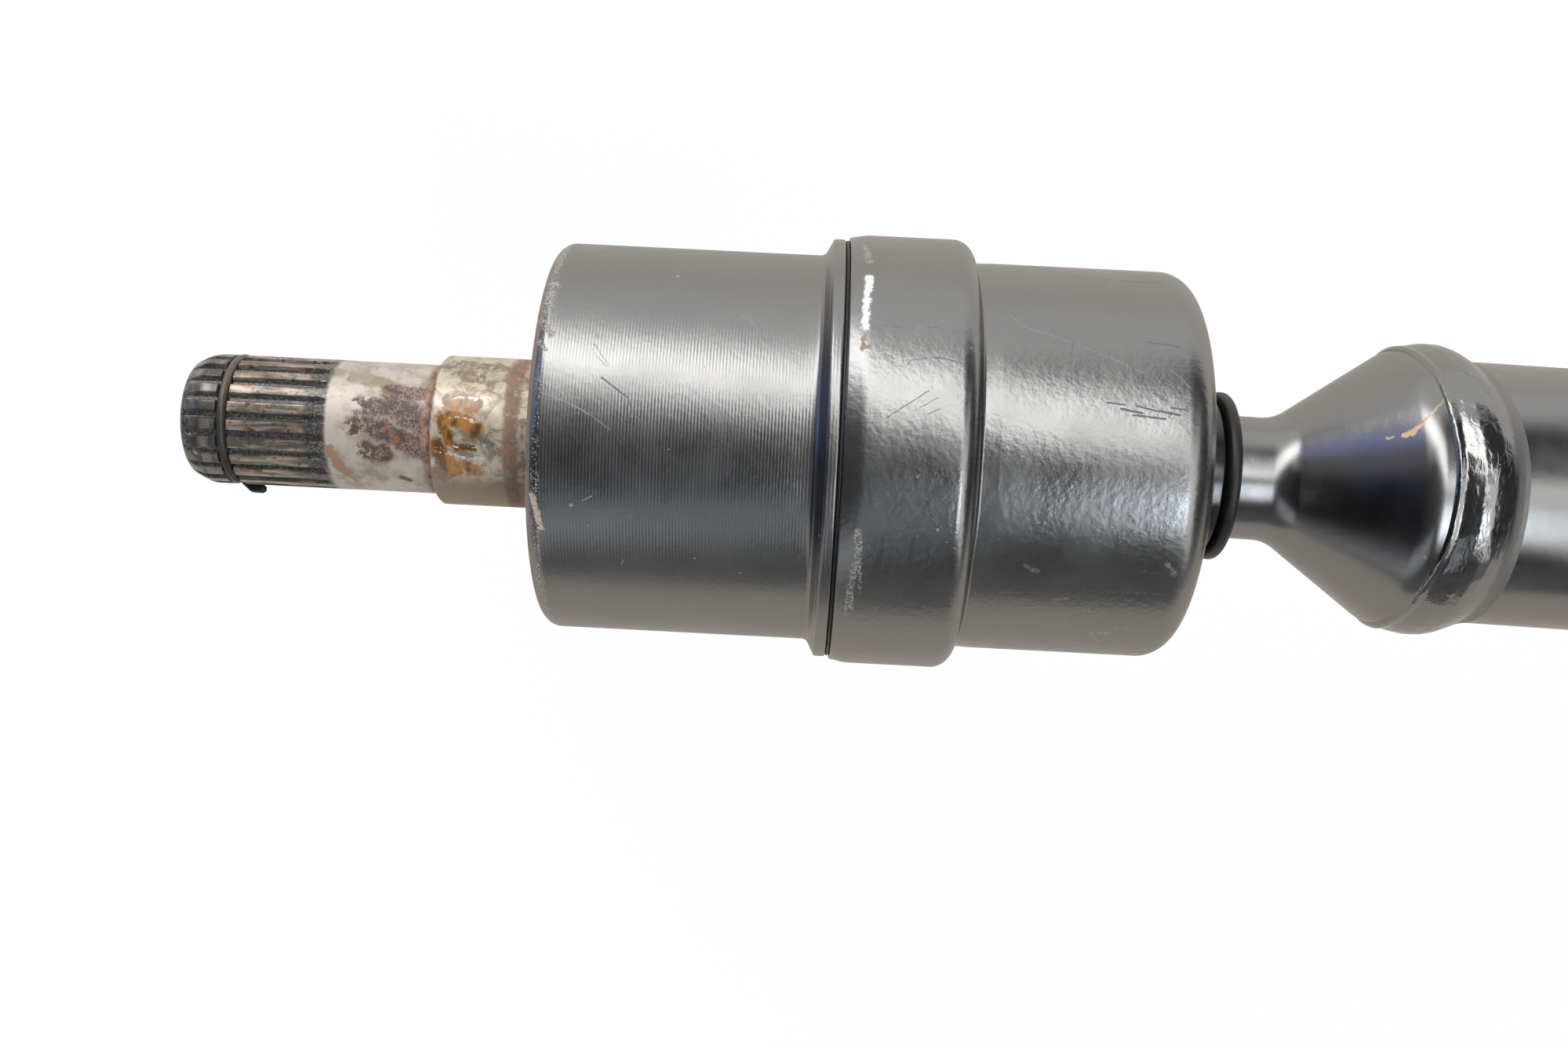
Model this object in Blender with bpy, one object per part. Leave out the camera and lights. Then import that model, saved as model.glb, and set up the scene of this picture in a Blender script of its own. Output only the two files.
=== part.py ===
# Rear drive shaft with a plunging ball joint.
# A forged cup carries a splined stub, a pressed can closes it round a rubber boot, and a
# necked forging is welded to the tube. The cup's axis is X, the origin is the middle of
# the stub's end face, and the tube runs towards +X.
# Sizes are in metres. Places on the cup's side are measured from the stub's end face.
# Places on the shaft's side are measured from the ball plane, where the joint swings.

import math

import bmesh
import bpy
from mathutils import Matrix, Vector

MM = 0.001

# Clearances
FIT_GAP = 0.3 * MM
SEAL_GAP = 0.1 * MM

# Slots between spline teeth, as shares of the pitch at the crest
SLOT_TOP_SHARE = 0.5
SLOT_FLOOR_SHARE = 0.28

# Splined stub
STUB_CHAMFER_LENGTH = 3.3 * MM
STUB_CHAMFER_DEPTH = 1.7 * MM
SPLINE_RADIUS = 12.7 * MM
SPLINE_DEPTH = 1.2 * MM
SPLINE_COUNT = 22
SPLINE_LENGTH = 24.2 * MM
SPLINE_RUNOUT_RADIUS = 6.5 * MM
SHANK_RADIUS = 12.65 * MM
SHANK_FILLET = 3.0 * MM
STUB_RING_PLACE = 8.4 * MM
STUB_RING_WIRE = 1.7 * MM
STUB_RING_TANG = 4.6 * MM
SEAT_START = 48.6 * MM
SEAT_RADIUS = 14.6 * MM
SEAT_CHAMFER = 0.6 * MM
SEAT_LENGTH = 22.2 * MM
SEAT_ROOT_FILLET = 1.5 * MM

# Cup
CUP_RADIUS = 37.4 * MM
CUP_CORNER = 3.0 * MM
CUP_FLOOR = 8.7 * MM
FLANGE_HEIGHT = 0.8 * MM
FLANGE_RISE = 1.7 * MM
FLANGE_RIM = 2.1 * MM
FLANGE_FILLET = 1.2 * MM
SPIGOT_RADIUS = 39.8 * MM
SPIGOT_LENGTH = 20.9 * MM
SPIGOT_CHAMFER = 0.9 * MM
SEAL_WIDTH = 0.6 * MM
SEAL_HEIGHT = 0.5 * MM

# Ball joint
BALL_COUNT = 6
BALL_RADIUS = 7.5 * MM
PITCH_RADIUS = 25.0 * MM
BORE_RADIUS = 29.2 * MM
CAGE_WALL = 4.7 * MM
CAGE_HALF_WIDTH = 12.5 * MM
CAGE_WINDOW_LENGTH = 19.4 * MM
CAGE_WINDOW_CORNER = 2.5 * MM
RACE_HALF_WIDTH = 11.0 * MM
PLUNGE_IN = 14.0 * MM
PLUNGE_OUT = 16.0 * MM
FLOOR_CLEARANCE = 3.0 * MM
TRACK_RUNOUT = 2.2 * MM
STOP_CLEARANCE = 4.3 * MM
STOP_RING_WIRE = 2.2 * MM
STOP_RING_LIP = 1.1 * MM
MOUTH_LAND = 6.0 * MM
REST_BEND = math.radians(-0.95)

# Can over the joint
CAN_WALL = 1.5 * MM
CRIMP_HEIGHT = 0.5 * MM
CRIMP_PLACE = 2.9 * MM
CRIMP_LENGTH = 7.7 * MM
CAN_SHOULDER_GAP = 1.1 * MM
CAN_SHOULDER_CORNER = 3.9 * MM
CAN_RADIUS = 37.4 * MM
CAN_LENGTH = 65.2 * MM
CAN_END_CORNER = 6.0 * MM
CAN_LIP_DEPTH = 6.4 * MM

# Boot and its clamp
BOOT_WALL = 2.1 * MM
BOOT_BEAD_LENGTH = 10.5 * MM
BOOT_BEAD_HEIGHT = 4.8 * MM
BOOT_ROLL_PLACE = 26.0 * MM
BOOT_LIP_HEIGHT = 2.0 * MM
BOOT_LIP_LENGTH = 5.4 * MM
BOOT_LIP_ROUND = 3.2 * MM
BOOT_OVERHANG = 12.2 * MM
CLAMP_LENGTH = 7.6 * MM
CLAMP_WALL = 0.7 * MM

# Necked forging
SHAFT_SPLINE_RADIUS = 11.8 * MM
SHAFT_SPLINE_DEPTH = 1.0 * MM
SHAFT_SPLINE_COUNT = 18
SHAFT_END_LAND = 2.3 * MM
CIRCLIP_WIDTH = 1.6 * MM
CIRCLIP_DEPTH = 1.4 * MM
CIRCLIP_HEIGHT = 3.0 * MM
NECK_RADIUS = 12.0 * MM
NECK_CLEARANCE = 5.4 * MM
NECK_FILLET = 9.0 * MM
CONE_ANGLE = math.radians(36.6)
CONE_FILLET = 14.0 * MM
CONE_RADIUS = 27.0 * MM
CONE_LAND = 5.8 * MM

# Tube and welds
TUBE_RADIUS = 25.4 * MM
TUBE_WALL = 1.8 * MM
TUBE_LENGTH = 432.0 * MM
TUBE_SPIGOT_LENGTH = 16.0 * MM
WELD_ROOT = 3.6 * MM
WELD_LENGTH = 14.6 * MM
WELD_HEIGHT = 2.8 * MM

# Far end
FAR_STUB_RADIUS = 12.0 * MM
FAR_STUB_LENGTH = 36.0 * MM
FAR_STUB_CHAMFER = 1.5 * MM

# Facets
OUTER_STEPS = 30
INNER_STEPS = 24
TRACK_STEPS = 16
BALL_STEPS = 14
WIRE_SIDES = 6
ARC_STEP = math.radians(31)
FULL_TURN = 2 * math.pi
# How far a cutter runs past the face that it cuts
CUT_MARGIN = 2.0 * MM

# Places worked out on the cup's side
cup_start = SEAT_START + SEAT_LENGTH
floor_place = cup_start + CUP_FLOOR
shaft_end_reach = RACE_HALF_WIDTH + 2 * FIT_GAP + CIRCLIP_WIDTH + SHAFT_END_LAND
ball_plane = floor_place + FLOOR_CLEARANCE + PLUNGE_IN + shaft_end_reach
stop_ring_place = ball_plane + PLUNGE_OUT + BALL_RADIUS + STOP_CLEARANCE + STOP_RING_WIRE / 2
mouth_place = stop_ring_place + MOUTH_LAND
seal_slot = SEAL_WIDTH + 2 * SEAL_GAP
spigot_start = mouth_place - SPIGOT_LENGTH
flange_start = spigot_start - seal_slot - FLANGE_RIM
flange_radius = SPIGOT_RADIUS + FLANGE_HEIGHT
can_end = spigot_start + CAN_LENGTH
can_bore = SPIGOT_RADIUS + FIT_GAP
can_big_radius = can_bore + CAN_WALL
can_shoulder = mouth_place + CAN_SHOULDER_GAP + CAN_WALL
can_mouth_radius = CAN_RADIUS - CAN_LIP_DEPTH

# Sizes worked out in the ball joint
track_radius = BALL_RADIUS + FIT_GAP
cage_outer = BORE_RADIUS - FIT_GAP
cage_inner = cage_outer - CAGE_WALL
race_radius = cage_inner - FIT_GAP
race_bore = SHAFT_SPLINE_RADIUS - SHAFT_SPLINE_DEPTH + FIT_GAP

# Places worked out on the shaft's side
can_end_reach = can_end - ball_plane
lip_end = can_end_reach + BOOT_OVERHANG
lip_start = lip_end - BOOT_LIP_LENGTH
clamp_start = lip_start - FIT_GAP - CLAMP_LENGTH
sleeve_bore = NECK_RADIUS + FIT_GAP
sleeve_radius = sleeve_bore + BOOT_WALL
lip_radius = sleeve_radius + BOOT_LIP_HEIGHT
cone_rise = CONE_RADIUS - NECK_RADIUS
cone_root = can_end_reach + PLUNGE_IN + NECK_CLEARANCE
cone_top = cone_root + cone_rise / math.tan(CONE_ANGLE)
cone_end = cone_top + CONE_LAND
tube_start = cone_end + WELD_ROOT
tube_end = tube_start + TUBE_LENGTH
tube_bore = TUBE_RADIUS - TUBE_WALL
far_cone_end = tube_end + WELD_ROOT
far_cone_top = far_cone_end + CONE_LAND
far_cone_root = far_cone_top + (CONE_RADIUS - FAR_STUB_RADIUS) / math.tan(CONE_ANGLE)
far_end = far_cone_root + FAR_STUB_LENGTH


def clear_scene():
    for old in list(bpy.data.objects):
        bpy.data.objects.remove(old, do_unlink=True)


def finish(name, colour, roughness, metallic):
    material = bpy.data.materials.new(name)
    material.use_nodes = True
    shader = material.node_tree.nodes["Principled BSDF"]
    shader.inputs["Base Color"].default_value = (*colour, 1.0)
    shader.inputs["Roughness"].default_value = roughness
    shader.inputs["Metallic"].default_value = metallic
    material.diffuse_color = (*colour, 1.0)
    return material


def carrier(name, parent=None, place=(0, 0, 0), turn=0.0):
    """An empty that carries a group, turned about Z."""
    empty = bpy.data.objects.new(name, None)
    bpy.context.collection.objects.link(empty)
    empty.parent = parent
    empty.location = place
    empty.rotation_euler = (0, 0, turn)
    return empty


def put(name, mesh, material, parent=None):
    """One named object from a bmesh, shaded smooth with its sharp edges kept."""
    data = bpy.data.meshes.new(name)
    mesh.to_mesh(data)
    mesh.free()
    data.shade_smooth()
    data.set_sharp_from_angle(angle=math.radians(35))
    piece = bpy.data.objects.new(name, data)
    bpy.context.collection.objects.link(piece)
    if material:
        data.materials.append(material)
    piece.parent = parent
    return piece


def guide(name, mesh, parent=None):
    """A cutter, left out of the model."""
    piece = put(name, mesh, None, parent)
    piece.hide_render = True
    piece.display_type = "WIRE"
    return piece


def cut(piece, tool):
    change = piece.modifiers.new(tool.name, "BOOLEAN")
    change.operation = "DIFFERENCE"
    change.solver = "EXACT"
    change.object = tool


def rounded(corners):
    """An outline through (x, r, fillet) corners, with an arc where the fillet isn't zero."""
    points = []
    for i, (x, r, fillet) in enumerate(corners):
        here = Vector((x, r))
        if fillet == 0:
            points.append(here)
            continue
        back = (Vector(corners[i - 1][:2]) - here).normalized()
        ahead = (Vector(corners[(i + 1) % len(corners)][:2]) - here).normalized()
        half = back.angle(ahead) / 2
        centre = here + (back + ahead).normalized() * fillet / math.sin(half)
        start = here + back * fillet / math.tan(half) - centre
        sweep = math.pi - 2 * half
        if start.x * back.y - start.y * back.x > 0:
            sweep = -sweep
        count = max(1, math.ceil(abs(sweep) / ARC_STEP))
        for k in range(count + 1):
            points.append(centre + start @ Matrix.Rotation(-sweep * k / count, 2))
    return points


def turned(outline, steps, sweep=FULL_TURN):
    """A closed outline of (x, r) points turned about the X axis."""
    mesh = bmesh.new()
    ring = [mesh.verts.new((x, 0, r)) for x, r in outline]
    edges = [mesh.edges.new((ring[i - 1], ring[i])) for i in range(len(ring))]
    whole = sweep == FULL_TURN
    section = ring + edges if whole else [mesh.faces.new(ring)]
    bmesh.ops.spin(
        mesh,
        geom=section,
        axis=(1, 0, 0),
        angle=sweep,
        steps=steps,
        use_merge=whole,
    )
    bmesh.ops.remove_doubles(mesh, verts=mesh.verts, dist=1e-3 * MM)
    bmesh.ops.recalc_face_normals(mesh, faces=mesh.faces)
    return mesh


def arc(radius, start, end, count, centre=(0, 0)):
    """Points on a circle in the (x, r) plane, from one angle to another."""
    points = []
    for k in range(count + 1):
        angle = start + (end - start) * k / count
        points.append((centre[0] + radius * math.cos(angle), centre[1] + radius * math.sin(angle)))
    return points


def prism(outlines):
    """A closed solid through a row of like outlines, each a list of 3-D points."""
    mesh = bmesh.new()
    rings = [[mesh.verts.new(point) for point in outline] for outline in outlines]
    mesh.faces.new(rings[0])
    mesh.faces.new(rings[-1])
    for lower, upper in zip(rings, rings[1:]):
        for i in range(len(lower)):
            mesh.faces.new((lower[i - 1], lower[i], upper[i], upper[i - 1]))
    bmesh.ops.recalc_face_normals(mesh, faces=mesh.faces)
    return mesh


def around(single, count, first=0.0):
    """Copies of one mesh spaced evenly about the X axis, in one mesh."""
    data = bpy.data.meshes.new("repeat")
    single.to_mesh(data)
    single.free()
    mesh = bmesh.new()
    for i in range(count):
        turn = Matrix.Rotation(first + FULL_TURN * i / count, 4, "X")
        data.transform(turn)
        mesh.from_mesh(data)
        data.transform(turn.inverted())
    bpy.data.meshes.remove(data)
    return mesh


def slot_half(level, count, root, crest):
    """Half the width of a slot between spline teeth, at a radius."""
    share = (level - root) / (crest - root)
    width = SLOT_FLOOR_SHARE + (SLOT_TOP_SHARE - SLOT_FLOOR_SHARE) * share
    return width * math.pi * crest / count


def slot_section(x, low, low_half, high, high_half):
    return [(x, -low_half, low), (x, low_half, low), (x, high_half, high), (x, -high_half, high)]


def spline_slots(count, root, crest, start, end, runout=0.0):
    """Cutter for the slots between outer spline teeth. At the far end their floor may rise
    along an arc, as a hob leaves it."""
    outer = crest + CUT_MARGIN
    outer_half = slot_half(outer, count, root, crest)

    def section(x, floor):
        return slot_section(x, floor, slot_half(floor, count, root, crest), outer, outer_half)

    sections = [section(start, root), section(end, root)]
    if runout:
        rise = crest - root + 0.05 * MM
        last = math.acos(1 - rise / runout)
        for k in range(1, 4):
            angle = last * k / 3
            sections.append(section(end + runout * math.sin(angle), root + runout * (1 - math.cos(angle))))
    return around(prism(sections), count)


def capsule(start, end, radius):
    """A round bar along X at the ball pitch, with a ball end at its start."""
    outline = arc(radius, math.pi, math.pi / 2, TRACK_STEPS // 4, (start, 0)) + [(end, radius), (end, 0)]
    mesh = turned(outline, TRACK_STEPS)
    bmesh.ops.translate(mesh, vec=(0, PITCH_RADIUS, 0), verts=mesh.verts)
    return mesh


def wire_ring(name, path, wire, material, parent=None):
    """A round wire bent along a path of points."""
    curve = bpy.data.curves.new(name, "CURVE")
    curve.dimensions = "3D"
    curve.bevel_depth = wire / 2
    curve.bevel_resolution = WIRE_SIDES // 4
    curve.use_fill_caps = True
    spline = curve.splines.new("POLY")
    spline.points.add(len(path) - 1)
    for point, place in zip(spline.points, path):
        point.co = (*place, 1)
    piece = bpy.data.objects.new(name, curve)
    bpy.context.collection.objects.link(piece)
    curve.materials.append(material)
    piece.parent = parent
    return piece


def circle_path(x, radius, start, end, count):
    path = []
    for k in range(count + 1):
        angle = start + (end - start) * k / count
        path.append((x, radius * math.cos(angle), radius * math.sin(angle)))
    return path


def outer_race(material):
    """Cup, flange and splined stub, forged and turned in one piece."""
    groove_floor = SPLINE_RADIUS - SPLINE_DEPTH - FIT_GAP
    groove_half = STUB_RING_WIRE / 2 + FIT_GAP
    stop_floor = BORE_RADIUS + STOP_RING_WIRE - STOP_RING_LIP + FIT_GAP
    stop_half = STOP_RING_WIRE / 2 + FIT_GAP
    spline_end = SPLINE_LENGTH + SPLINE_RUNOUT_RADIUS / 2
    corners = [
        (0, 0, 0),
        (0, SPLINE_RADIUS - STUB_CHAMFER_DEPTH, 0),
        (STUB_CHAMFER_LENGTH, SPLINE_RADIUS, 0),
        (STUB_RING_PLACE - groove_half, SPLINE_RADIUS, 0),
        (STUB_RING_PLACE - groove_half, groove_floor, 0),
        (STUB_RING_PLACE + groove_half, groove_floor, 0),
        (STUB_RING_PLACE + groove_half, SPLINE_RADIUS, 0),
        (spline_end, SPLINE_RADIUS, 0),
        (spline_end + SPLINE_DEPTH, SHANK_RADIUS, 0),
        (SEAT_START, SHANK_RADIUS, min(SHANK_FILLET, 0.9 * (SEAT_RADIUS - SEAT_CHAMFER - SHANK_RADIUS))),
        (SEAT_START, SEAT_RADIUS - SEAT_CHAMFER, 0),
        (SEAT_START + SEAT_CHAMFER, SEAT_RADIUS, 0),
        (cup_start, SEAT_RADIUS, SEAT_ROOT_FILLET),
        (cup_start, CUP_RADIUS, CUP_CORNER),
        (flange_start - FLANGE_RISE, CUP_RADIUS, FLANGE_FILLET),
        (flange_start, flange_radius, 0),
        (flange_start + FLANGE_RIM, flange_radius, 0),
        (flange_start + FLANGE_RIM, SPIGOT_RADIUS, 0),
        (mouth_place - SPIGOT_CHAMFER, SPIGOT_RADIUS, 0),
        (mouth_place, SPIGOT_RADIUS - SPIGOT_CHAMFER, 0),
        (mouth_place, BORE_RADIUS + SPIGOT_CHAMFER, 0),
        (mouth_place - SPIGOT_CHAMFER, BORE_RADIUS, 0),
        (stop_ring_place + stop_half, BORE_RADIUS, 0),
        (stop_ring_place + stop_half, stop_floor, 0),
        (stop_ring_place - stop_half, stop_floor, 0),
        (stop_ring_place - stop_half, BORE_RADIUS, 0),
        (floor_place, BORE_RADIUS, 4.5 * MM),
        (floor_place, 0, 0),
    ]
    piece = put("outer_race", turned(rounded(corners), OUTER_STEPS), material)
    slots = spline_slots(
        SPLINE_COUNT,
        SPLINE_RADIUS - SPLINE_DEPTH,
        SPLINE_RADIUS,
        -CUT_MARGIN,
        SPLINE_LENGTH,
        SPLINE_RUNOUT_RADIUS,
    )
    cut(piece, guide("stub_spline_cutter", slots))
    track = capsule(ball_plane - PLUNGE_IN - TRACK_RUNOUT, mouth_place + CUT_MARGIN, track_radius)
    cut(piece, guide("track_cutter", around(track, BALL_COUNT)))
    return piece


def stub_ring(material):
    """Round-wire ring in the stub's groove, with one end bent out along the splines."""
    radius = SPLINE_RADIUS - STUB_RING_WIRE * 0.4
    tang_radius = SPLINE_RADIUS + FIT_GAP / 2 + STUB_RING_WIRE / 2
    start = -math.pi + math.radians(14)
    end = math.pi - math.radians(10)
    path = circle_path(STUB_RING_PLACE, radius, end, start, 32)
    side = Vector((0, math.cos(start), math.sin(start)))
    bend = side * tang_radius
    path.append((STUB_RING_PLACE + STUB_RING_WIRE * 0.6, bend.y, bend.z))
    path.append((STUB_RING_PLACE + STUB_RING_TANG, bend.y, bend.z))
    return wire_ring("stub_retaining_ring", path, STUB_RING_WIRE, material)


def stop_ring(material):
    """Wire ring that keeps the balls in the cup."""
    radius = BORE_RADIUS + STOP_RING_WIRE / 2 - STOP_RING_LIP
    gap = math.radians(8)
    path = circle_path(stop_ring_place, radius, gap, FULL_TURN - gap, 32)
    return wire_ring("ball_stop_ring", path, STOP_RING_WIRE, material)


def can_seal(material):
    """Flat rubber ring between the flange and the can's edge."""
    start = flange_start + FLANGE_RIM + SEAL_GAP
    inner = SPIGOT_RADIUS + SEAL_GAP
    corners = [
        (start, inner, 0),
        (start, inner + SEAL_HEIGHT, 0),
        (start + SEAL_WIDTH, inner + SEAL_HEIGHT, 0),
        (start + SEAL_WIDTH, inner, 0),
    ]
    return put("can_seal", turned(rounded(corners), OUTER_STEPS), material)


def boot_can(material):
    """Pressed sheet can, crimped over the cup's spigot and curled in at its mouth."""
    inner_radius = CAN_RADIUS - CAN_WALL
    corners = [
        (spigot_start, can_bore, 0),
        (spigot_start, can_big_radius + 0.4 * CRIMP_HEIGHT, 0.3 * MM),
        (spigot_start + CRIMP_PLACE, can_big_radius + CRIMP_HEIGHT, 0),
        (spigot_start + CRIMP_LENGTH, can_big_radius, 0),
        (can_shoulder, can_big_radius, CAN_SHOULDER_CORNER),
        (can_shoulder, CAN_RADIUS - 0.15 * MM, 0),
        (can_shoulder + CAN_WALL, CAN_RADIUS + 0.1 * MM, 0),
        (can_shoulder + 2.5 * CAN_WALL, CAN_RADIUS, 0),
        (can_end, CAN_RADIUS, CAN_END_CORNER),
        (can_end, can_mouth_radius, 0),
        (can_end - CAN_WALL, can_mouth_radius, 0),
        (can_end - CAN_WALL, inner_radius, CAN_END_CORNER - CAN_WALL),
        (can_shoulder - CAN_WALL, inner_radius, CAN_WALL / 2),
        (can_shoulder - CAN_WALL, can_bore, CAN_SHOULDER_CORNER - CAN_WALL),
    ]
    return put("boot_can", turned(rounded(corners), OUTER_STEPS), material)


def boot(material, shaft_turn):
    """Rolled diaphragm boot: a bead held in the can's mouth, a wall that runs back inside
    the can, a roll, and a sleeve that ends in a lip on the neck."""
    bead_outer = CAN_RADIUS - CAN_WALL - FIT_GAP
    bead_end = can_end - CAN_WALL - FIT_GAP
    bead_inner = bead_outer - BOOT_BEAD_HEIGHT
    wall_inner = bead_outer - BOOT_WALL
    roll_place = can_end - BOOT_ROLL_PLACE
    roll_outer = (bead_outer - sleeve_bore) / 2
    roll_middle = (bead_outer + sleeve_bore) / 2
    lip_from = ball_plane + lip_start
    lip_to = ball_plane + lip_end
    corners = [
        (bead_end, bead_inner, 0.8 * MM),
        (bead_end, bead_outer, CAN_END_CORNER - CAN_WALL - FIT_GAP),
    ]
    outline = rounded(corners + [(roll_place, bead_outer, 0)])
    outline = [tuple(point) for point in outline[:-1]]
    outline += arc(roll_outer, math.pi / 2, 3 * math.pi / 2, 7, (roll_place, roll_middle))
    outline.append((lip_to, sleeve_bore))
    outline += arc(BOOT_LIP_ROUND, 0, math.pi / 2, 3, (lip_to - BOOT_LIP_ROUND, lip_radius - BOOT_LIP_ROUND))
    outline += [
        (lip_from, lip_radius - 0.3 * MM),
        (lip_from, sleeve_radius),
    ]
    outline += arc(roll_outer - BOOT_WALL, 3 * math.pi / 2, math.pi / 2, 6, (roll_place, roll_middle))
    outline += [
        (bead_end - BOOT_BEAD_LENGTH - BOOT_WALL, wall_inner),
        (bead_end - BOOT_BEAD_LENGTH, bead_inner),
    ]
    mesh = turned(outline, INNER_STEPS)
    # The sleeve follows the shaft and the wall stays with the can, so the rubber leans between.
    lean = Matrix.Translation((ball_plane, 0, 0)) @ Matrix.Rotation(shaft_turn, 4, "Z")
    lean = lean @ Matrix.Translation((-ball_plane, 0, 0))
    inner_limit = lip_radius + FIT_GAP
    for vert in mesh.verts:
        radius = math.hypot(vert.co.y, vert.co.z)
        share = min(1.0, max(0.0, (wall_inner - radius) / (wall_inner - inner_limit)))
        share = share * share * (3 - 2 * share)
        vert.co = vert.co.lerp(lean @ vert.co, share)
    return put("boot", mesh, material)


def boot_clamp(material, parent):
    """Rolled band that grips the boot's sleeve on the neck."""
    inner = sleeve_radius + SEAL_GAP
    outer = inner + CLAMP_WALL
    corners = [
        (clamp_start, inner, 0),
        (clamp_start, outer, 0),
        (clamp_start + CLAMP_LENGTH, outer, 0),
        (clamp_start + CLAMP_LENGTH, inner, 0),
    ]
    return put("boot_clamp", turned(rounded(corners), INNER_STEPS), material, parent)


def balls(material, parent):
    mesh = bmesh.new()
    bmesh.ops.create_uvsphere(mesh, u_segments=BALL_STEPS, v_segments=BALL_STEPS // 2 + 1, radius=BALL_RADIUS)
    first = put("ball_1", mesh, material, parent)
    made = [first]
    for i in range(1, BALL_COUNT):
        ball = bpy.data.objects.new(f"ball_{i + 1}", first.data)
        bpy.context.collection.objects.link(ball)
        ball.parent = parent
        made.append(ball)
    for i, ball in enumerate(made):
        angle = FULL_TURN * i / BALL_COUNT
        ball.location = (0, PITCH_RADIUS * math.cos(angle), PITCH_RADIUS * math.sin(angle))
    return made


def ball_cage(material, parent):
    """Ring with round inner and outer faces and a window for each ball."""
    outer_turn = math.acos(CAGE_HALF_WIDTH / cage_outer)
    inner_turn = math.acos(CAGE_HALF_WIDTH / cage_inner)
    outline = arc(cage_outer, math.pi - outer_turn, outer_turn, 4)
    outline += arc(cage_inner, inner_turn, math.pi - inner_turn, 4)
    piece = put("ball_cage", turned(outline, INNER_STEPS), material, parent)
    half_width = BALL_RADIUS + FIT_GAP
    half_length = CAGE_WINDOW_LENGTH / 2
    window = rounded(
        [
            (-half_width, -half_length, CAGE_WINDOW_CORNER),
            (half_width, -half_length, CAGE_WINDOW_CORNER),
            (half_width, half_length, CAGE_WINDOW_CORNER),
            (-half_width, half_length, CAGE_WINDOW_CORNER),
        ]
    )
    levels = (cage_inner - 2 * CUT_MARGIN, cage_outer + CUT_MARGIN)
    sections = [[(x, level, z) for x, z in window] for level in levels]
    cut(piece, guide("window_cutter", around(prism(sections), BALL_COUNT), parent))
    return piece


def inner_race(material, parent):
    """Ball-shaped hub with a straight track for each ball and a splined bore."""
    side = math.acos(RACE_HALF_WIDTH / race_radius)
    chamfer = SHAFT_SPLINE_DEPTH + FIT_GAP
    outline = arc(race_radius, math.pi - side, side, 4)
    outline += [
        (RACE_HALF_WIDTH, race_bore + chamfer),
        (RACE_HALF_WIDTH - chamfer, race_bore),
        (chamfer - RACE_HALF_WIDTH, race_bore),
        (-RACE_HALF_WIDTH, race_bore + chamfer),
    ]
    piece = put("inner_race", turned(outline, INNER_STEPS), material, parent)
    reach = RACE_HALF_WIDTH + CUT_MARGIN
    track = turned([(-reach, 0), (-reach, track_radius), (reach, track_radius), (reach, 0)], TRACK_STEPS)
    bmesh.ops.translate(track, vec=(0, PITCH_RADIUS, 0), verts=track.verts)
    cut(piece, guide("race_track_cutter", around(track, BALL_COUNT), parent))
    cut(piece, guide("race_spline_cutter", bore_slots(reach), parent))
    return piece


def bore_slots(reach):
    """Cutter for the slots that take the shaft's spline teeth, a clearance wider than them."""
    root = SHAFT_SPLINE_RADIUS - SHAFT_SPLINE_DEPTH
    half_pitch = math.pi / SHAFT_SPLINE_COUNT
    low = root - CUT_MARGIN / 2
    high = SHAFT_SPLINE_RADIUS + FIT_GAP
    halves = []
    for level in (low, high):
        tooth_half = half_pitch * level - slot_half(level, SHAFT_SPLINE_COUNT, root, SHAFT_SPLINE_RADIUS)
        halves.append(tooth_half + FIT_GAP)
    sections = [slot_section(x, low, halves[0], high, halves[1]) for x in (-reach, reach)]
    return around(prism(sections), SHAFT_SPLINE_COUNT, half_pitch)


def circlip(name, middle, material, parent):
    """Open spring ring of flat section in a groove of the splined end."""
    inner = SHAFT_SPLINE_RADIUS - CIRCLIP_DEPTH
    half = CIRCLIP_WIDTH / 2
    outline = [
        (middle - half, inner),
        (middle - half, inner + CIRCLIP_HEIGHT),
        (middle + half, inner + CIRCLIP_HEIGHT),
        (middle + half, inner),
    ]
    return put(name, turned(outline, INNER_STEPS - 4, math.radians(320)), material, parent)


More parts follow.
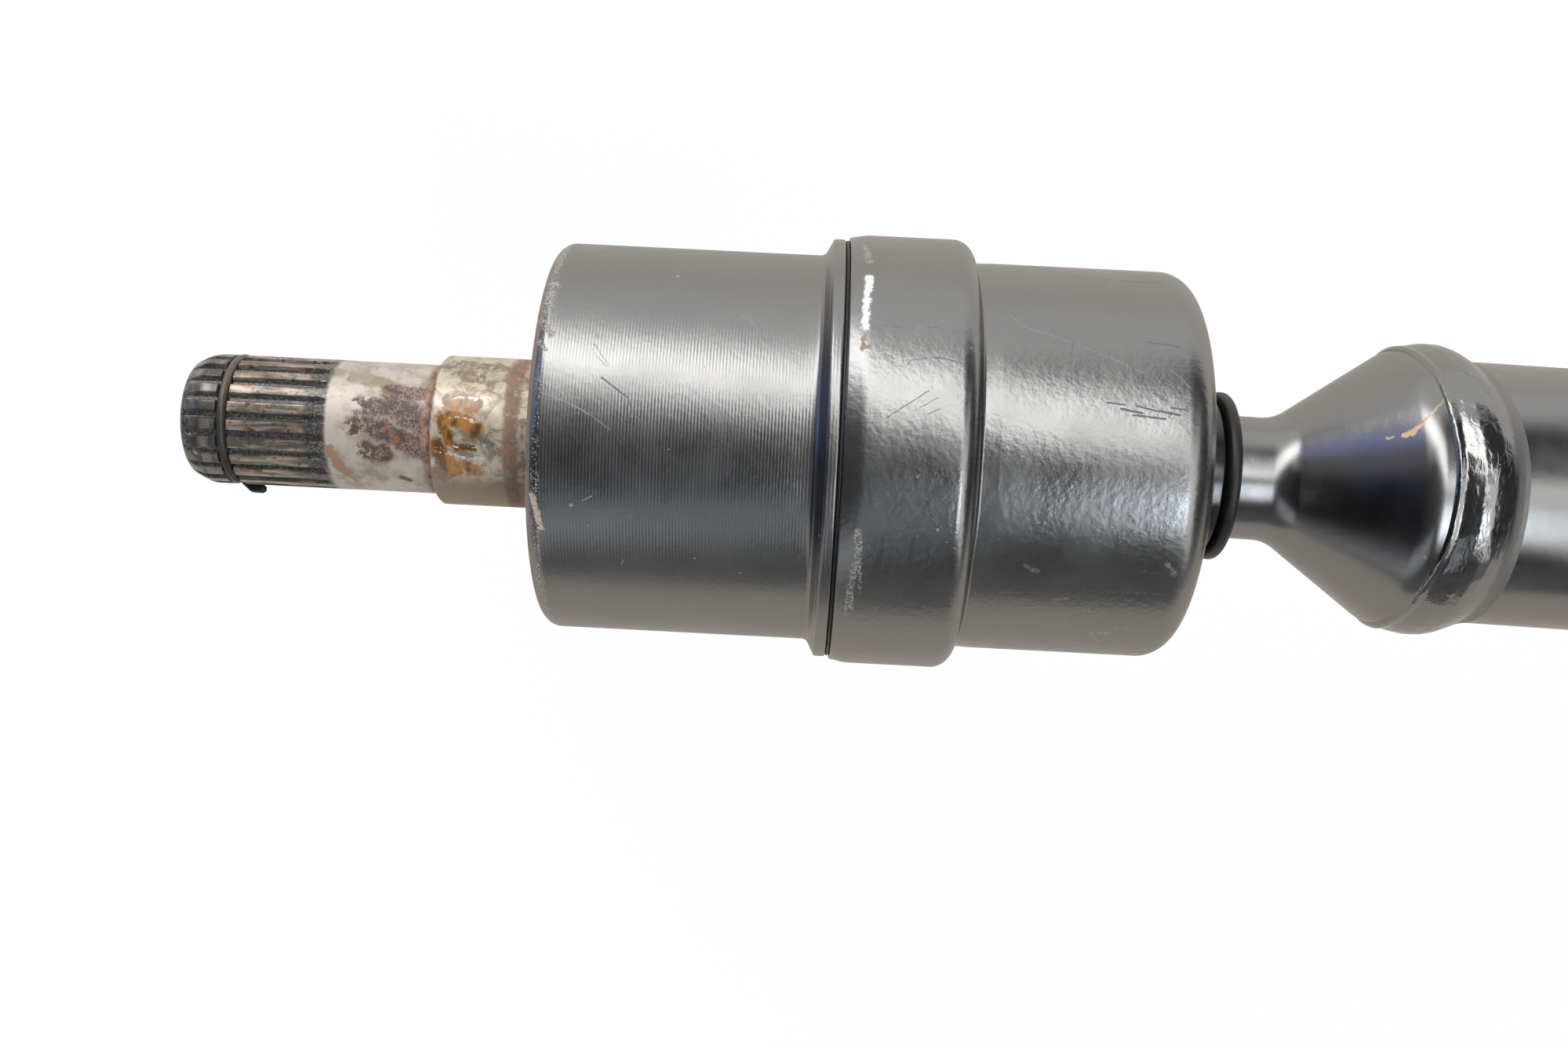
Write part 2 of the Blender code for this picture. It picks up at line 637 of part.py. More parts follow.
def shaft_neck(material, parent):
    """Forging with a splined inner end, a plain neck and a cone that meets the tube."""
    groove_floor = SHAFT_SPLINE_RADIUS - CIRCLIP_DEPTH - FIT_GAP
    groove_near = RACE_HALF_WIDTH
    groove_far = groove_near + CIRCLIP_WIDTH + 2 * FIT_GAP
    spline_end = groove_far + SHAFT_END_LAND
    spigot_radius = tube_bore - FIT_GAP
    corners = [
        (-shaft_end_reach, 0, 0),
        (-shaft_end_reach, SHAFT_SPLINE_RADIUS - SHAFT_SPLINE_DEPTH, 0),
        (SHAFT_SPLINE_DEPTH - shaft_end_reach, SHAFT_SPLINE_RADIUS, 0),
        (-groove_far, SHAFT_SPLINE_RADIUS, 0),
        (-groove_far, groove_floor, 0),
        (-groove_near, groove_floor, 0),
        (-groove_near, SHAFT_SPLINE_RADIUS, 0),
        (groove_near, SHAFT_SPLINE_RADIUS, 0),
        (groove_near, groove_floor, 0),
        (groove_far, groove_floor, 0),
        (groove_far, SHAFT_SPLINE_RADIUS, 0),
        (spline_end, SHAFT_SPLINE_RADIUS, 0),
        (spline_end + SHAFT_SPLINE_DEPTH, NECK_RADIUS, 0),
        (cone_root, NECK_RADIUS, NECK_FILLET),
        (cone_top, CONE_RADIUS, CONE_FILLET),
        (cone_end, CONE_RADIUS, 0.6 * MM),
        (cone_end, spigot_radius, 0),
        (cone_end + TUBE_SPIGOT_LENGTH, spigot_radius, 0),
        (cone_end + TUBE_SPIGOT_LENGTH, 0, 0),
    ]
    piece = put("shaft_neck", turned(rounded(corners), OUTER_STEPS), material, parent)
    slots = spline_slots(
        SHAFT_SPLINE_COUNT,
        SHAFT_SPLINE_RADIUS - SHAFT_SPLINE_DEPTH,
        SHAFT_SPLINE_RADIUS,
        -shaft_end_reach - CUT_MARGIN,
        spline_end,
    )
    cut(piece, guide("neck_spline_cutter", slots, parent))
    return piece


def weld_bead(name, side, edge, material, parent):
    """Ring of weld metal between a forging's edge and the tube, with its root in the gap.
    side is 1 where the tube lies towards +X of the edge and -1 where it lies towards -X."""
    root = tube_bore + FIT_GAP / 2
    toe = TUBE_RADIUS + FIT_GAP
    crown = TUBE_RADIUS + WELD_HEIGHT
    near_toe = CONE_RADIUS + FIT_GAP
    root_end = WELD_ROOT - FIT_GAP
    profile = [
        (FIT_GAP, root),
        (FIT_GAP, near_toe),
        (0.12 * WELD_LENGTH, near_toe + 0.3 * (crown - near_toe)),
        (0.35 * WELD_LENGTH, crown),
        (0.65 * WELD_LENGTH, crown - 0.45 * MM),
        (0.87 * WELD_LENGTH, toe + 0.9 * MM),
        (WELD_LENGTH, toe),
        (root_end, toe),
        (root_end, root),
    ]
    mesh = turned([(edge + side * x, r) for x, r in profile], OUTER_STEPS)
    return put(name, mesh, material, parent)


def tube(material, parent):
    outline = [
        (tube_start, tube_bore),
        (tube_start, TUBE_RADIUS),
        (tube_end, TUBE_RADIUS),
        (tube_end, tube_bore),
    ]
    return put("tube", turned(outline, OUTER_STEPS), material, parent)


def far_stub(material, parent):
    """Plain necked end of the tube, with a flat machined face."""
    spigot_radius = tube_bore - FIT_GAP
    corners = [
        (far_cone_end - TUBE_SPIGOT_LENGTH, 0, 0),
        (far_cone_end - TUBE_SPIGOT_LENGTH, spigot_radius, 0),
        (far_cone_end, spigot_radius, 0),
        (far_cone_end, CONE_RADIUS, 0.6 * MM),
        (far_cone_top, CONE_RADIUS, CONE_FILLET),
        (far_cone_root, FAR_STUB_RADIUS, NECK_FILLET),
        (far_end - FAR_STUB_CHAMFER, FAR_STUB_RADIUS, 0),
        (far_end, FAR_STUB_RADIUS - FAR_STUB_CHAMFER, 0),
        (far_end, 0, 0),
    ]
    return put("far_end_stub", turned(rounded(corners), INNER_STEPS), material, parent)


def build():
    clear_scene()
    paint = finish("black_paint", (0.035, 0.037, 0.042), 0.32, 0.0)
    steel = finish("bright_steel", (0.55, 0.54, 0.52), 0.28, 1.0)
    spring = finish("spring_steel", (0.16, 0.15, 0.14), 0.4, 1.0)
    rubber = finish("black_rubber", (0.02, 0.02, 0.02), 0.6, 0.0)
    weld = finish("painted_weld", (0.045, 0.045, 0.045), 0.3, 0.0)

    joint_centre = carrier("joint_centre", place=(ball_plane, 0, 0))
    cage_turn = carrier("cage_turn", joint_centre, turn=REST_BEND / 2)
    shaft_turn = carrier("shaft_turn", joint_centre, turn=REST_BEND)

    outer_race(paint)
    stub_ring(spring)
    stop_ring(spring)
    can_seal(rubber)
    boot_can(paint)
    boot(rubber, REST_BEND)

    balls(steel, cage_turn)
    ball_cage(steel, cage_turn)

    inner_race(steel, shaft_turn)
    clip_middle = RACE_HALF_WIDTH + FIT_GAP + CIRCLIP_WIDTH / 2
    circlip("race_circlip_inner", -clip_middle, spring, shaft_turn)
    circlip("race_circlip_outer", clip_middle, spring, shaft_turn)
    shaft_neck(paint, shaft_turn)
    boot_clamp(paint, shaft_turn)
    weld_bead("weld_bead_near", 1, cone_end, weld, shaft_turn)
    tube(paint, shaft_turn)
    weld_bead("weld_bead_far", -1, far_cone_end, weld, shaft_turn)
    far_stub(paint, shaft_turn)


build()
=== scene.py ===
import math

import bpy
import numpy as np
from mathutils import Matrix, Vector


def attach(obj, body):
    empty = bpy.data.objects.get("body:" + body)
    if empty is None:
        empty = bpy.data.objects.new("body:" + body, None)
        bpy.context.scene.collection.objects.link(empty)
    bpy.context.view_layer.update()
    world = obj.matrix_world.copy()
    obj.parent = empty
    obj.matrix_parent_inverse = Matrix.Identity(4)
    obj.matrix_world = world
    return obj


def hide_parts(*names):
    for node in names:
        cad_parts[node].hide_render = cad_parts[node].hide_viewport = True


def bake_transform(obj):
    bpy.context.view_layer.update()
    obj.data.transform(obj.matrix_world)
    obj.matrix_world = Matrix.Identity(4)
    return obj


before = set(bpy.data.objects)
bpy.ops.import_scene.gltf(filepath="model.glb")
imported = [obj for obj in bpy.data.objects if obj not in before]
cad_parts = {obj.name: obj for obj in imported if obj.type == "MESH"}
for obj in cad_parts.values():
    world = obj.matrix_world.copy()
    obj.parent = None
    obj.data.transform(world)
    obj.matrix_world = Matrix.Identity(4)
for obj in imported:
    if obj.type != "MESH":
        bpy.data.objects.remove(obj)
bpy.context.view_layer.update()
print("frame loaded:", len(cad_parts), "nodes")

# Lengths are in millimetres and angles in degrees, unless a name says otherwise.
# X runs along the shaft. Angles round it are 0 at +Z and grow towards +Y.
mm = 0.001
joint = {"ballPlane": 112.0, "restBend": -0.95, "pitchRadius": 25.0}


# Surfaces

def outline(corners, arcStep=6.0):
    # Points along straight lines between (x, r, fillet) corners, with an arc of the fillet's
    # radius at each corner that has one.
    corners = np.array(corners, float)
    places, fillets = corners[:, :2], corners[:, 2]
    before, after = np.roll(places, 1, 0), np.roll(places, -1, 0)
    points = []
    for here, back, ahead, fillet in zip(places, before, after, fillets):
        if fillet == 0:
            points.append(here[None])
            continue
        toBack = (back - here) / np.linalg.norm(back - here)
        toAhead = (ahead - here) / np.linalg.norm(ahead - here)
        half = math.acos(np.clip(toBack @ toAhead, -1, 1)) / 2
        bisector = (toBack + toAhead) / np.linalg.norm(toBack + toAhead)
        centre = here + bisector * fillet / math.sin(half)
        start = here + toBack * fillet / math.tan(half) - centre
        end = here + toAhead * fillet / math.tan(half) - centre
        first = math.atan2(start[1], start[0])
        sweep = (math.atan2(end[1], end[0]) - first + math.pi) % (2 * math.pi) - math.pi
        turn = first + np.linspace(0, sweep, max(3, int(abs(math.degrees(sweep)) / arcStep) + 2))
        points.append(centre + fillet * np.stack([np.cos(turn), np.sin(turn)], 1))
    return np.concatenate(points)


def finer(points, longest, closed=False):
    # The same line with each stretch longer than `longest` split evenly.
    ends = np.roll(points, -1, 0) if closed else points[1:]
    starts = points if closed else points[:-1]
    pieces = []
    for start, end in zip(starts, ends):
        count = max(1, int(np.linalg.norm(end - start) / longest))
        share = np.arange(count)[:, None] / count
        pieces.append(start + (end - start) * share)
    if not closed:
        pieces.append(points[-1:])
    return np.concatenate(pieces)


def addMesh(name, points, faces, material, body, slot, replaced=(), bend=0.0, second=None):
    # The object stays at the origin, so the bend at the ball plane is worked into the points.
    if bend:
        turn = math.radians(bend)
        x, y = points[:, 0] - joint["ballPlane"], points[:, 1].copy()
        points = points.copy()
        points[:, 0] = joint["ballPlane"] + x * math.cos(turn) - y * math.sin(turn)
        points[:, 1] = x * math.sin(turn) + y * math.cos(turn)
    mesh = bpy.data.meshes.new(name)
    mesh.from_pydata((points * mm).tolist(), [], faces)
    mesh.materials.append(material)
    mesh.update()
    if second:
        # `second` is a material and the X place from which it is used.
        mesh.materials.append(second[0])
        centres = np.empty(len(mesh.polygons) * 3)
        mesh.polygons.foreach_get("center", centres)
        beyond = centres[::3] > second[1] * mm
        mesh.polygons.foreach_set("material_index", beyond.astype(np.int32))
    mesh.shade_smooth()
    mesh.set_sharp_from_angle(angle=math.radians(40))
    piece = bpy.data.objects.new(name, mesh)
    bpy.context.scene.collection.objects.link(piece)
    if body:
        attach(piece, body)
    for node in replaced:
        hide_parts(node)
    return piece


def gridFaces(rows, columns, wrapRows):
    # Four corners for each cell of a grid whose columns close on themselves.
    rowIndex = np.arange(rows if wrapRows else rows - 1)[:, None]
    columnIndex = np.arange(columns)[None]
    nextRow, nextColumn = (rowIndex + 1) % rows, (columnIndex + 1) % columns
    quads = np.stack([
        rowIndex * columns + columnIndex,
        rowIndex * columns + nextColumn,
        nextRow * columns + nextColumn,
        nextRow * columns + columnIndex,
    ], -1)
    return quads.reshape(-1, 4).tolist()


def poleFaces(rows, columns):
    # Two fans, from the point before the grid's first row and from the one after its last.
    j = np.arange(columns)
    nextJ = (j + 1) % columns
    first, last, lastRow = rows * columns, rows * columns + 1, (rows - 1) * columns
    before = np.stack([np.full(columns, first), nextJ, j], 1)
    after = np.stack([lastRow + j, lastRow + nextJ, np.full(columns, last)], 1)
    return before.tolist() + after.tolist()


def turned(name, profile, columns, shape=None, **place):
    # Profile point i turned about the X axis by column angle j: (x, r sin a, r cos a). The
    # profile is a loop, or its ends lie on the axis. `shape` may change x and r at each point.
    x, r = profile.T
    if (x * np.roll(r, -1) - np.roll(x, -1) * r).sum() < 0:
        profile = profile[::-1]
    poles = profile[0, 1] == 0 and profile[-1, 1] == 0
    line = profile[1:-1] if poles else profile
    angle = np.linspace(0, 2 * math.pi, columns, endpoint=False)
    along = np.repeat(line[:, :1], columns, 1)
    radius = np.repeat(line[:, 1:], columns, 1)
    around = np.repeat(angle[None], len(line), 0)
    if shape:
        along, radius = shape(along, radius, around)
    points = np.stack([along, radius * np.sin(around), radius * np.cos(around)], -1).reshape(-1, 3)
    faces = gridFaces(len(line), columns, not poles)
    if poles:
        faces += poleFaces(len(line), columns)
        points = np.concatenate([points, [[profile[0, 0], 0, 0], [profile[-1, 0], 0, 0]]])
    return addMesh(name, points, faces, **place)


def wireAlong(name, path, wireRadius, sides, **place):
    # A round wire carried along a path near the X axis. Each ring of points lies square to the
    # path, and the ends are rounded off by rings that shrink along a quarter circle.
    tangent = np.gradient(path, axis=0)
    tangent /= np.linalg.norm(tangent, axis=1, keepdims=True)
    outward = path * np.array([0, 1, 1])
    outward -= (outward * tangent).sum(1, keepdims=True) * tangent
    outward /= np.linalg.norm(outward, axis=1, keepdims=True)
    sideways = np.cross(tangent, outward)
    turn = np.linspace(0, 2 * math.pi, sides, endpoint=False)[None, :, None]
    ring = outward[:, None] * np.cos(turn) + sideways[:, None] * np.sin(turn)
    rise = np.linspace(0, math.pi / 2, 6)[1:-1, None, None]
    startCap = path[0] - wireRadius * (tangent[0] * np.sin(rise) - ring[:1] * np.cos(rise))
    endCap = path[-1] + wireRadius * (tangent[-1] * np.sin(rise) + ring[-1:] * np.cos(rise))
    grid = np.concatenate([startCap[::-1], path[:, None] + ring * wireRadius, endCap])
    tips = np.stack([path[0] - tangent[0] * wireRadius, path[-1] + tangent[-1] * wireRadius])
    faces = gridFaces(len(grid), sides, False) + poleFaces(len(grid), sides)
    return addMesh(name, np.concatenate([grid.reshape(-1, 3), tips]), faces, **place)


# Shader helpers

def isSocket(value):
    return isinstance(value, bpy.types.NodeSocket)


def addNode(tree, kind, inputs=None, **settings):
    node = tree.nodes.new(kind)
    for key, value in settings.items():
        setattr(node, key, value)
    for key, value in (inputs or {}).items():
        if isSocket(value):
            tree.links.new(value, node.inputs[key])
        else:
            node.inputs[key].default_value = value
    return node


def sums(tree, operation, a, b=0.0, c=0.0, clamp=False):
    given = {0: a, 1: b}
    if operation == "MULTIPLY_ADD":
        given[2] = c
    return addNode(tree, "ShaderNodeMath", given, operation=operation, use_clamp=clamp).outputs[0]


def vectors(tree, operation, a, b=(0, 0, 0), result=0, **more):
    given = {0: a, 1: b, **more}
    return addNode(tree, "ShaderNodeVectorMath", given, operation=operation).outputs[result]


def ramp(tree, value, fromLow, fromHigh, toLow=0.0, toHigh=1.0):
    limits = {"From Min": fromLow, "From Max": fromHigh, "To Min": toLow, "To Max": toHigh}
    node = addNode(tree, "ShaderNodeMapRange", {"Value": value, **limits}, interpolation_type="SMOOTHSTEP")
    return node.outputs["Result"]


def between(tree, value, low, high, soft):
    # 1 from low to high, and 0 beyond them. Each edge is 2 * soft wide.
    rise = ramp(tree, sums(tree, "SUBTRACT", value, low), -soft, soft)
    fall = ramp(tree, sums(tree, "SUBTRACT", high, value), -soft, soft)
    return sums(tree, "MULTIPLY", rise, fall)


def noise(tree, place, scale, detail=3.0, roughness=0.5, distortion=0.0):
    given = {"Vector": place, "Scale": scale, "Detail": detail, "Roughness": roughness,
             "Distortion": distortion}
    return addNode(tree, "ShaderNodeTexNoise", given).outputs["Fac"]


def stretched(tree, place, x, y, z):
    return vectors(tree, "MULTIPLY", place, (x, y, z))


def blendColour(tree, share, a, b):
    node = addNode(tree, "ShaderNodeMix", {0: share}, data_type="RGBA")
    for index, value in ((6, a), (7, b)):
        if isSocket(value):
            tree.links.new(value, node.inputs[index])
        else:
            node.inputs[index].default_value = (*value, 1.0)
    return node.outputs[2]


def blendValue(tree, share, a, b):
    return addNode(tree, "ShaderNodeMix", {0: share, 2: a, 3: b}, data_type="FLOAT").outputs[0]


def newGroup(name, inputs, outputs):
    tree = bpy.data.node_groups.new(name, "ShaderNodeTree")
    for kind, sockets in (("INPUT", inputs), ("OUTPUT", outputs)):
        for socketName, socketType in sockets.items():
            tree.interface.new_socket(name=socketName, in_out=kind, socket_type="NodeSocket" + socketType)
    return tree, tree.nodes.new("NodeGroupInput").outputs, tree.nodes.new("NodeGroupOutput").inputs


def useGroup(tree, name, **inputs):
    node = addNode(tree, "ShaderNodeGroup", node_tree=groups[name])
    for key, value in inputs.items():
        if isSocket(value):
            tree.links.new(value, node.inputs[key])
        else:
            node.inputs[key].default_value = value
    return node.outputs


def makeUnrolled():
    # The place on a part that is round about the X axis, in millimetres: Spot in space with
    # the shaft's bend taken out, and Place on the surface rolled out flat at the given radius.
    tree, given, result = newGroup("unrolled", {"Radius": "Float", "Bend": "Float"}, {
        "Spot": "Vector", "Place": "Vector", "Along": "Float", "Around": "Float", "Out": "Float",
    })
    coords = addNode(tree, "ShaderNodeTexCoord").outputs["Object"]
    centre = (joint["ballPlane"] * mm, 0, 0)
    straight = addNode(tree, "ShaderNodeVectorRotate", {
        "Vector": coords, "Center": centre, "Angle": given["Bend"],
    }, rotation_type="Z_AXIS").outputs[0]
    spot = vectors(tree, "SCALE", straight, Scale=1 / mm)
    parts = addNode(tree, "ShaderNodeSeparateXYZ", {0: spot}).outputs
    angle = sums(tree, "ARCTAN2", parts[1], parts[2])
    around = sums(tree, "MULTIPLY", angle, given["Radius"])
    flat = addNode(tree, "ShaderNodeCombineXYZ", {"Y": parts[1], "Z": parts[2]}).outputs[0]
    place = addNode(tree, "ShaderNodeCombineXYZ", {"X": parts[0], "Y": around}).outputs[0]
    tree.links.new(spot, result["Spot"])
    tree.links.new(place, result["Place"])
    tree.links.new(parts[0], result["Along"])
    tree.links.new(around, result["Around"])
    tree.links.new(vectors(tree, "LENGTH", flat, result="Value"), result["Out"])
    return tree


def makeStroke():
    # 1 on the line between two places and within Width of it, falling off at the edge.
    tree, given, result = newGroup("stroke", {
        "Place": "Vector", "Start": "Vector", "End": "Vector", "Width": "Float",
    }, {"Mask": "Float"})
    toPoint = vectors(tree, "SUBTRACT", given["Place"], given["Start"])
    toEnd = vectors(tree, "SUBTRACT", given["End"], given["Start"])
    dot = vectors(tree, "DOT_PRODUCT", toPoint, toEnd, result="Value")
    square = vectors(tree, "DOT_PRODUCT", toEnd, toEnd, result="Value")
    share = sums(tree, "DIVIDE", dot, square, clamp=True)
    reached = vectors(tree, "SCALE", toEnd, Scale=share)
    away = vectors(tree, "DISTANCE", toPoint, reached, result="Value")
    inner = sums(tree, "MULTIPLY", given["Width"], 0.5)
    tree.links.new(ramp(tree, away, given["Width"], inner), result["Mask"])
    return tree


def makeSpecks():
    # Round dots, one to a cell of the given size at most. Only a share of the cells has one.
    tree, given, result = newGroup("specks", {
        "Spot": "Vector", "Cell": "Float", "Size": "Float", "Share": "Float",
    }, {"Mask": "Float"})
    scale = sums(tree, "DIVIDE", 1.0, given["Cell"])
    cells = addNode(tree, "ShaderNodeTexVoronoi", {"Vector": given["Spot"], "Scale": scale}).outputs
    chance = addNode(tree, "ShaderNodeSeparateColor", {0: cells["Color"]}).outputs
    chosen = sums(tree, "LESS_THAN", chance[0], given["Share"])
    size = sums(tree, "MULTIPLY", sums(tree, "MULTIPLY_ADD", chance[1], 0.8, 0.4), given["Size"])
    edge = sums(tree, "DIVIDE", size, given["Cell"])
    dot = ramp(tree, cells["Distance"], edge, sums(tree, "MULTIPLY", edge, 0.5))
    tree.links.new(sums(tree, "MULTIPLY", chosen, dot), result["Mask"])
    return tree


def makePatches():
    # Where noise of the given grain, in millimetres, is above a threshold.
    tree, given, result = newGroup("patches", {
        "Spot": "Vector", "Grain": "Float", "Threshold": "Float", "Softness": "Float",
    }, {"Mask": "Float"})
    cloud = noise(tree, given["Spot"], sums(tree, "DIVIDE", 1.0, given["Grain"]), detail=4.0, roughness=0.62)
    top = sums(tree, "ADD", given["Threshold"], given["Softness"])
    tree.links.new(ramp(tree, cloud, given["Threshold"], top), result["Mask"])
    return tree


def makeSprayedSkin():
    # The waviness of sprayed paint: slow swells of the given grain, with finer ones on them.
    tree, given, result = newGroup("sprayedSkin", {
        "Spot": "Vector", "Grain": "Float", "Depth": "Float", "Grit": "Float",
    }, {"Height": "Float"})
    swell = noise(tree, given["Spot"], sums(tree, "DIVIDE", 1.0, given["Grain"]), detail=1.0)
    grit = noise(tree, given["Spot"], 2.2, detail=1.0)
    height = sums(tree, "MULTIPLY", swell, given["Depth"])
    tree.links.new(sums(tree, "MULTIPLY_ADD", grit, given["Grit"], height), result["Height"])
    return tree


def makeTurningLines():
    # The surface's normal, tipped to and fro along the X axis once for each turn of a lathe.
    tree, given, result = newGroup("turningLines", {
        "Along": "Float", "Pitch": "Float", "Tip": "Float",
    }, {"Normal": "Vector", "Wave": "Float"})
    turns = sums(tree, "DIVIDE", given["Along"], given["Pitch"])
    wave = sums(tree, "SINE", sums(tree, "MULTIPLY", turns, 2 * math.pi))
    axis = addNode(tree, "ShaderNodeVectorTransform", {0: (1, 0, 0)}, vector_type="NORMAL",
                   convert_from="OBJECT", convert_to="WORLD").outputs[0]
    tipped = vectors(tree, "SCALE", axis, Scale=sums(tree, "MULTIPLY", wave, given["Tip"]))
    normal = addNode(tree, "ShaderNodeNewGeometry").outputs["Normal"]
    tree.links.new(vectors(tree, "NORMALIZE", vectors(tree, "ADD", normal, tipped)), result["Normal"])
    tree.links.new(wave, result["Wave"])
    return tree


groups = {
    "unrolled": makeUnrolled(), "stroke": makeStroke(), "specks": makeSpecks(), "patches": makePatches(),
    "sprayedSkin": makeSprayedSkin(), "turningLines": makeTurningLines(),
}
print("shader groups made")


# A look is what a surface is made of so far: colour, rough, metal, and height in millimetres.
# Each layer over it changes some of these where its mask is 1.

def layer(tree, look, mask, colour=None, rough=None, metal=None, lift=None, wet=None):
    look = dict(look)
    if colour is not None:
        look["colour"] = blendColour(tree, mask, look["colour"], colour)
    for key, value in (("rough", rough), ("metal", metal), ("wet", wet)):
        if value is not None:
            look[key] = blendValue(tree, mask, look[key], value)
    if lift is not None:
        look["height"] = sums(tree, "MULTIPLY_ADD", mask, lift, look["height"])
    return look


def newMaterial(name):
    material = bpy.data.materials.new(name)
    material.use_nodes = True
    tree = material.node_tree
    return material, tree, tree.nodes["Principled BSDF"]


def wire(tree, shader, look):
    for key, socket in (("colour", "Base Color"), ("rough", "Roughness"), ("metal", "Metallic"),
                        ("wet", "Coat Weight")):
        value = look.get(key)
        if isSocket(value):
            tree.links.new(value, shader.inputs[socket])
        elif value is not None:
            shader.inputs[socket].default_value = (*value, 1.0) if key == "colour" else value
    given = {"Height": look["height"], "Distance": mm}
    if "normal" in look:
        given["Normal"] = look["normal"]
    bump = addNode(tree, "ShaderNodeBump", given)
    tree.links.new(bump.outputs[0], shader.inputs["Normal"])


def unroll(tree, radius, bend=0.0):
    return useGroup(tree, "unrolled", Radius=radius, Bend=math.radians(-bend))


def shaken(tree, spot, amount, grain):
    # The flat place, shifted a little by noise, so that strokes wander and have ragged edges.
    cloud = addNode(tree, "ShaderNodeTexNoise", {
        "Vector": spot["Spot"], "Scale": 1 / grain, "Detail": 3.0, "Roughness": 0.7,
    }).outputs["Color"]
    shift = vectors(tree, "SCALE", vectors(tree, "SUBTRACT", cloud, (0.5, 0.5, 0.5)), Scale=amount)
    return vectors(tree, "ADD", spot["Place"], shift)


def strokes(tree, place, marks):
    # The marks are (along, around, along, around, width), from one end to the other.
    total = None
    for startAlong, startAround, endAlong, endAround, width in marks:
        mask = useGroup(tree, "stroke", Place=place, Start=(startAlong, startAround, 0),
                        End=(endAlong, endAround, 0), Width=width)["Mask"]
        total = mask if total is None else sums(tree, "MAXIMUM", total, mask)
    return total


def times(tree, *masks):
    total = masks[0]
    for mask in masks[1:]:
        total = sums(tree, "MULTIPLY", total, mask)
    return total


# Paint

paint = {
    "black": (0.005, 0.0055, 0.007), "ior": 2.0, "specular": 1.0, "dustColour": (0.42, 0.41, 0.39),
    "film": (0.011, 0.011, 0.011), "scratchGrey": (0.20, 0.20, 0.21),
}


cupSkin = {"rough": 0.28, "grain": 1.2, "depth": 0.022, "grit": 0.012, "dust": 0.45}
canSkin = {"rough": 0.26, "grain": 1.4, "depth": 0.045, "grit": 0.016, "dust": 0.40}
shaftSkin = {"rough": 0.22, "grain": 3.0, "depth": 0.018, "grit": 0.006, "dust": 0.12}
weldSkin = {"rough": 0.17, "grain": 2.6, "depth": 0.06, "grit": 0.006, "dust": 0.12}


def paintLook(tree, spot, skin):
    # Black paint with its waviness, a thin uneven film of dirt, and dust specks.
    rough, dust = skin["rough"], skin["dust"]
    height = useGroup(tree, "sprayedSkin", Spot=spot["Spot"], Grain=skin["grain"], Depth=skin["depth"],
                      Grit=skin["grit"])["Height"]
    cloud = noise(tree, spot["Spot"], 0.09, detail=5.0, roughness=0.6)
    look = {
        "colour": blendColour(tree, ramp(tree, cloud, 0.35, 0.75), paint["black"], paint["film"]),
        "rough": ramp(tree, cloud, 0.3, 0.7, rough - 0.025, rough + 0.045),
        "metal": 0.0,
        "height": height,
    }
    fine = useGroup(tree, "specks", Spot=spot["Spot"], Cell=2.4, Size=0.15, Share=dust)["Mask"]
    large = useGroup(tree, "specks", Spot=spot["Spot"], Cell=7.0, Size=0.26, Share=dust)["Mask"]
    mask = sums(tree, "MAXIMUM", fine, large)
    return layer(tree, look, mask, colour=paint["dustColour"], rough=0.8)


def paintShader(shader):
    shader.inputs["IOR"].default_value = paint["ior"]
    shader.inputs["Specular IOR Level"].default_value = paint["specular"]


cupFinish = {
    "radius": 37.4, "pitch": 0.58, "tip": 0.065,
    "corner": 72.8, "cornerReach": 2.1,
    "chips": [(71.7, 19.9, 74.2, 16.3, 0.75), (72.0, 29.3, 73.9, 27.8, 0.6), (71.7, 15.4, 73.6, 13.3, 0.5)],
    "tanChips": [(72.5, -12.9, 73.3, -16.0, 0.75), (73.2, -15.5, 73.9, -18.7, 0.8)],
    "lightScratches": [
        (73.4, 5.5, 75.6, 4.8, 0.06), (75.6, 4.8, 79.0, 3.6, 0.07), (79.0, 3.6, 82.3, 1.9, 0.07),
        (82.3, 1.9, 85.7, -0.4, 0.06), (81.2, -13.2, 83.0, -12.2, 0.12), (87.9, -25.6, 88.3, -24.6, 0.10),
        (107.0, 22.5, 108.9, 21.4, 0.06), (108.9, 21.4, 109.6, 20.2, 0.06),
    ],
    "darkScratches": [(83.7, 8.6, 88.5, 5.2, 0.14), (88.5, 5.2, 89.3, 3.4, 0.08),
                      (90.0, 2.5, 92.0, 0.5, 0.05)],
    "dents": [(81.8, 14.4, 83.0, 12.6, 0.5), (83.0, 12.6, 84.4, 11.0, 0.4)],
    "rustSpots": [(82.0, 16.8, 82.3, 16.5, 0.35), (79.3, -14.1, 79.5, -14.1, 0.35),
                  (94.7, 32.6, 95.0, 32.5, 0.3)],
}


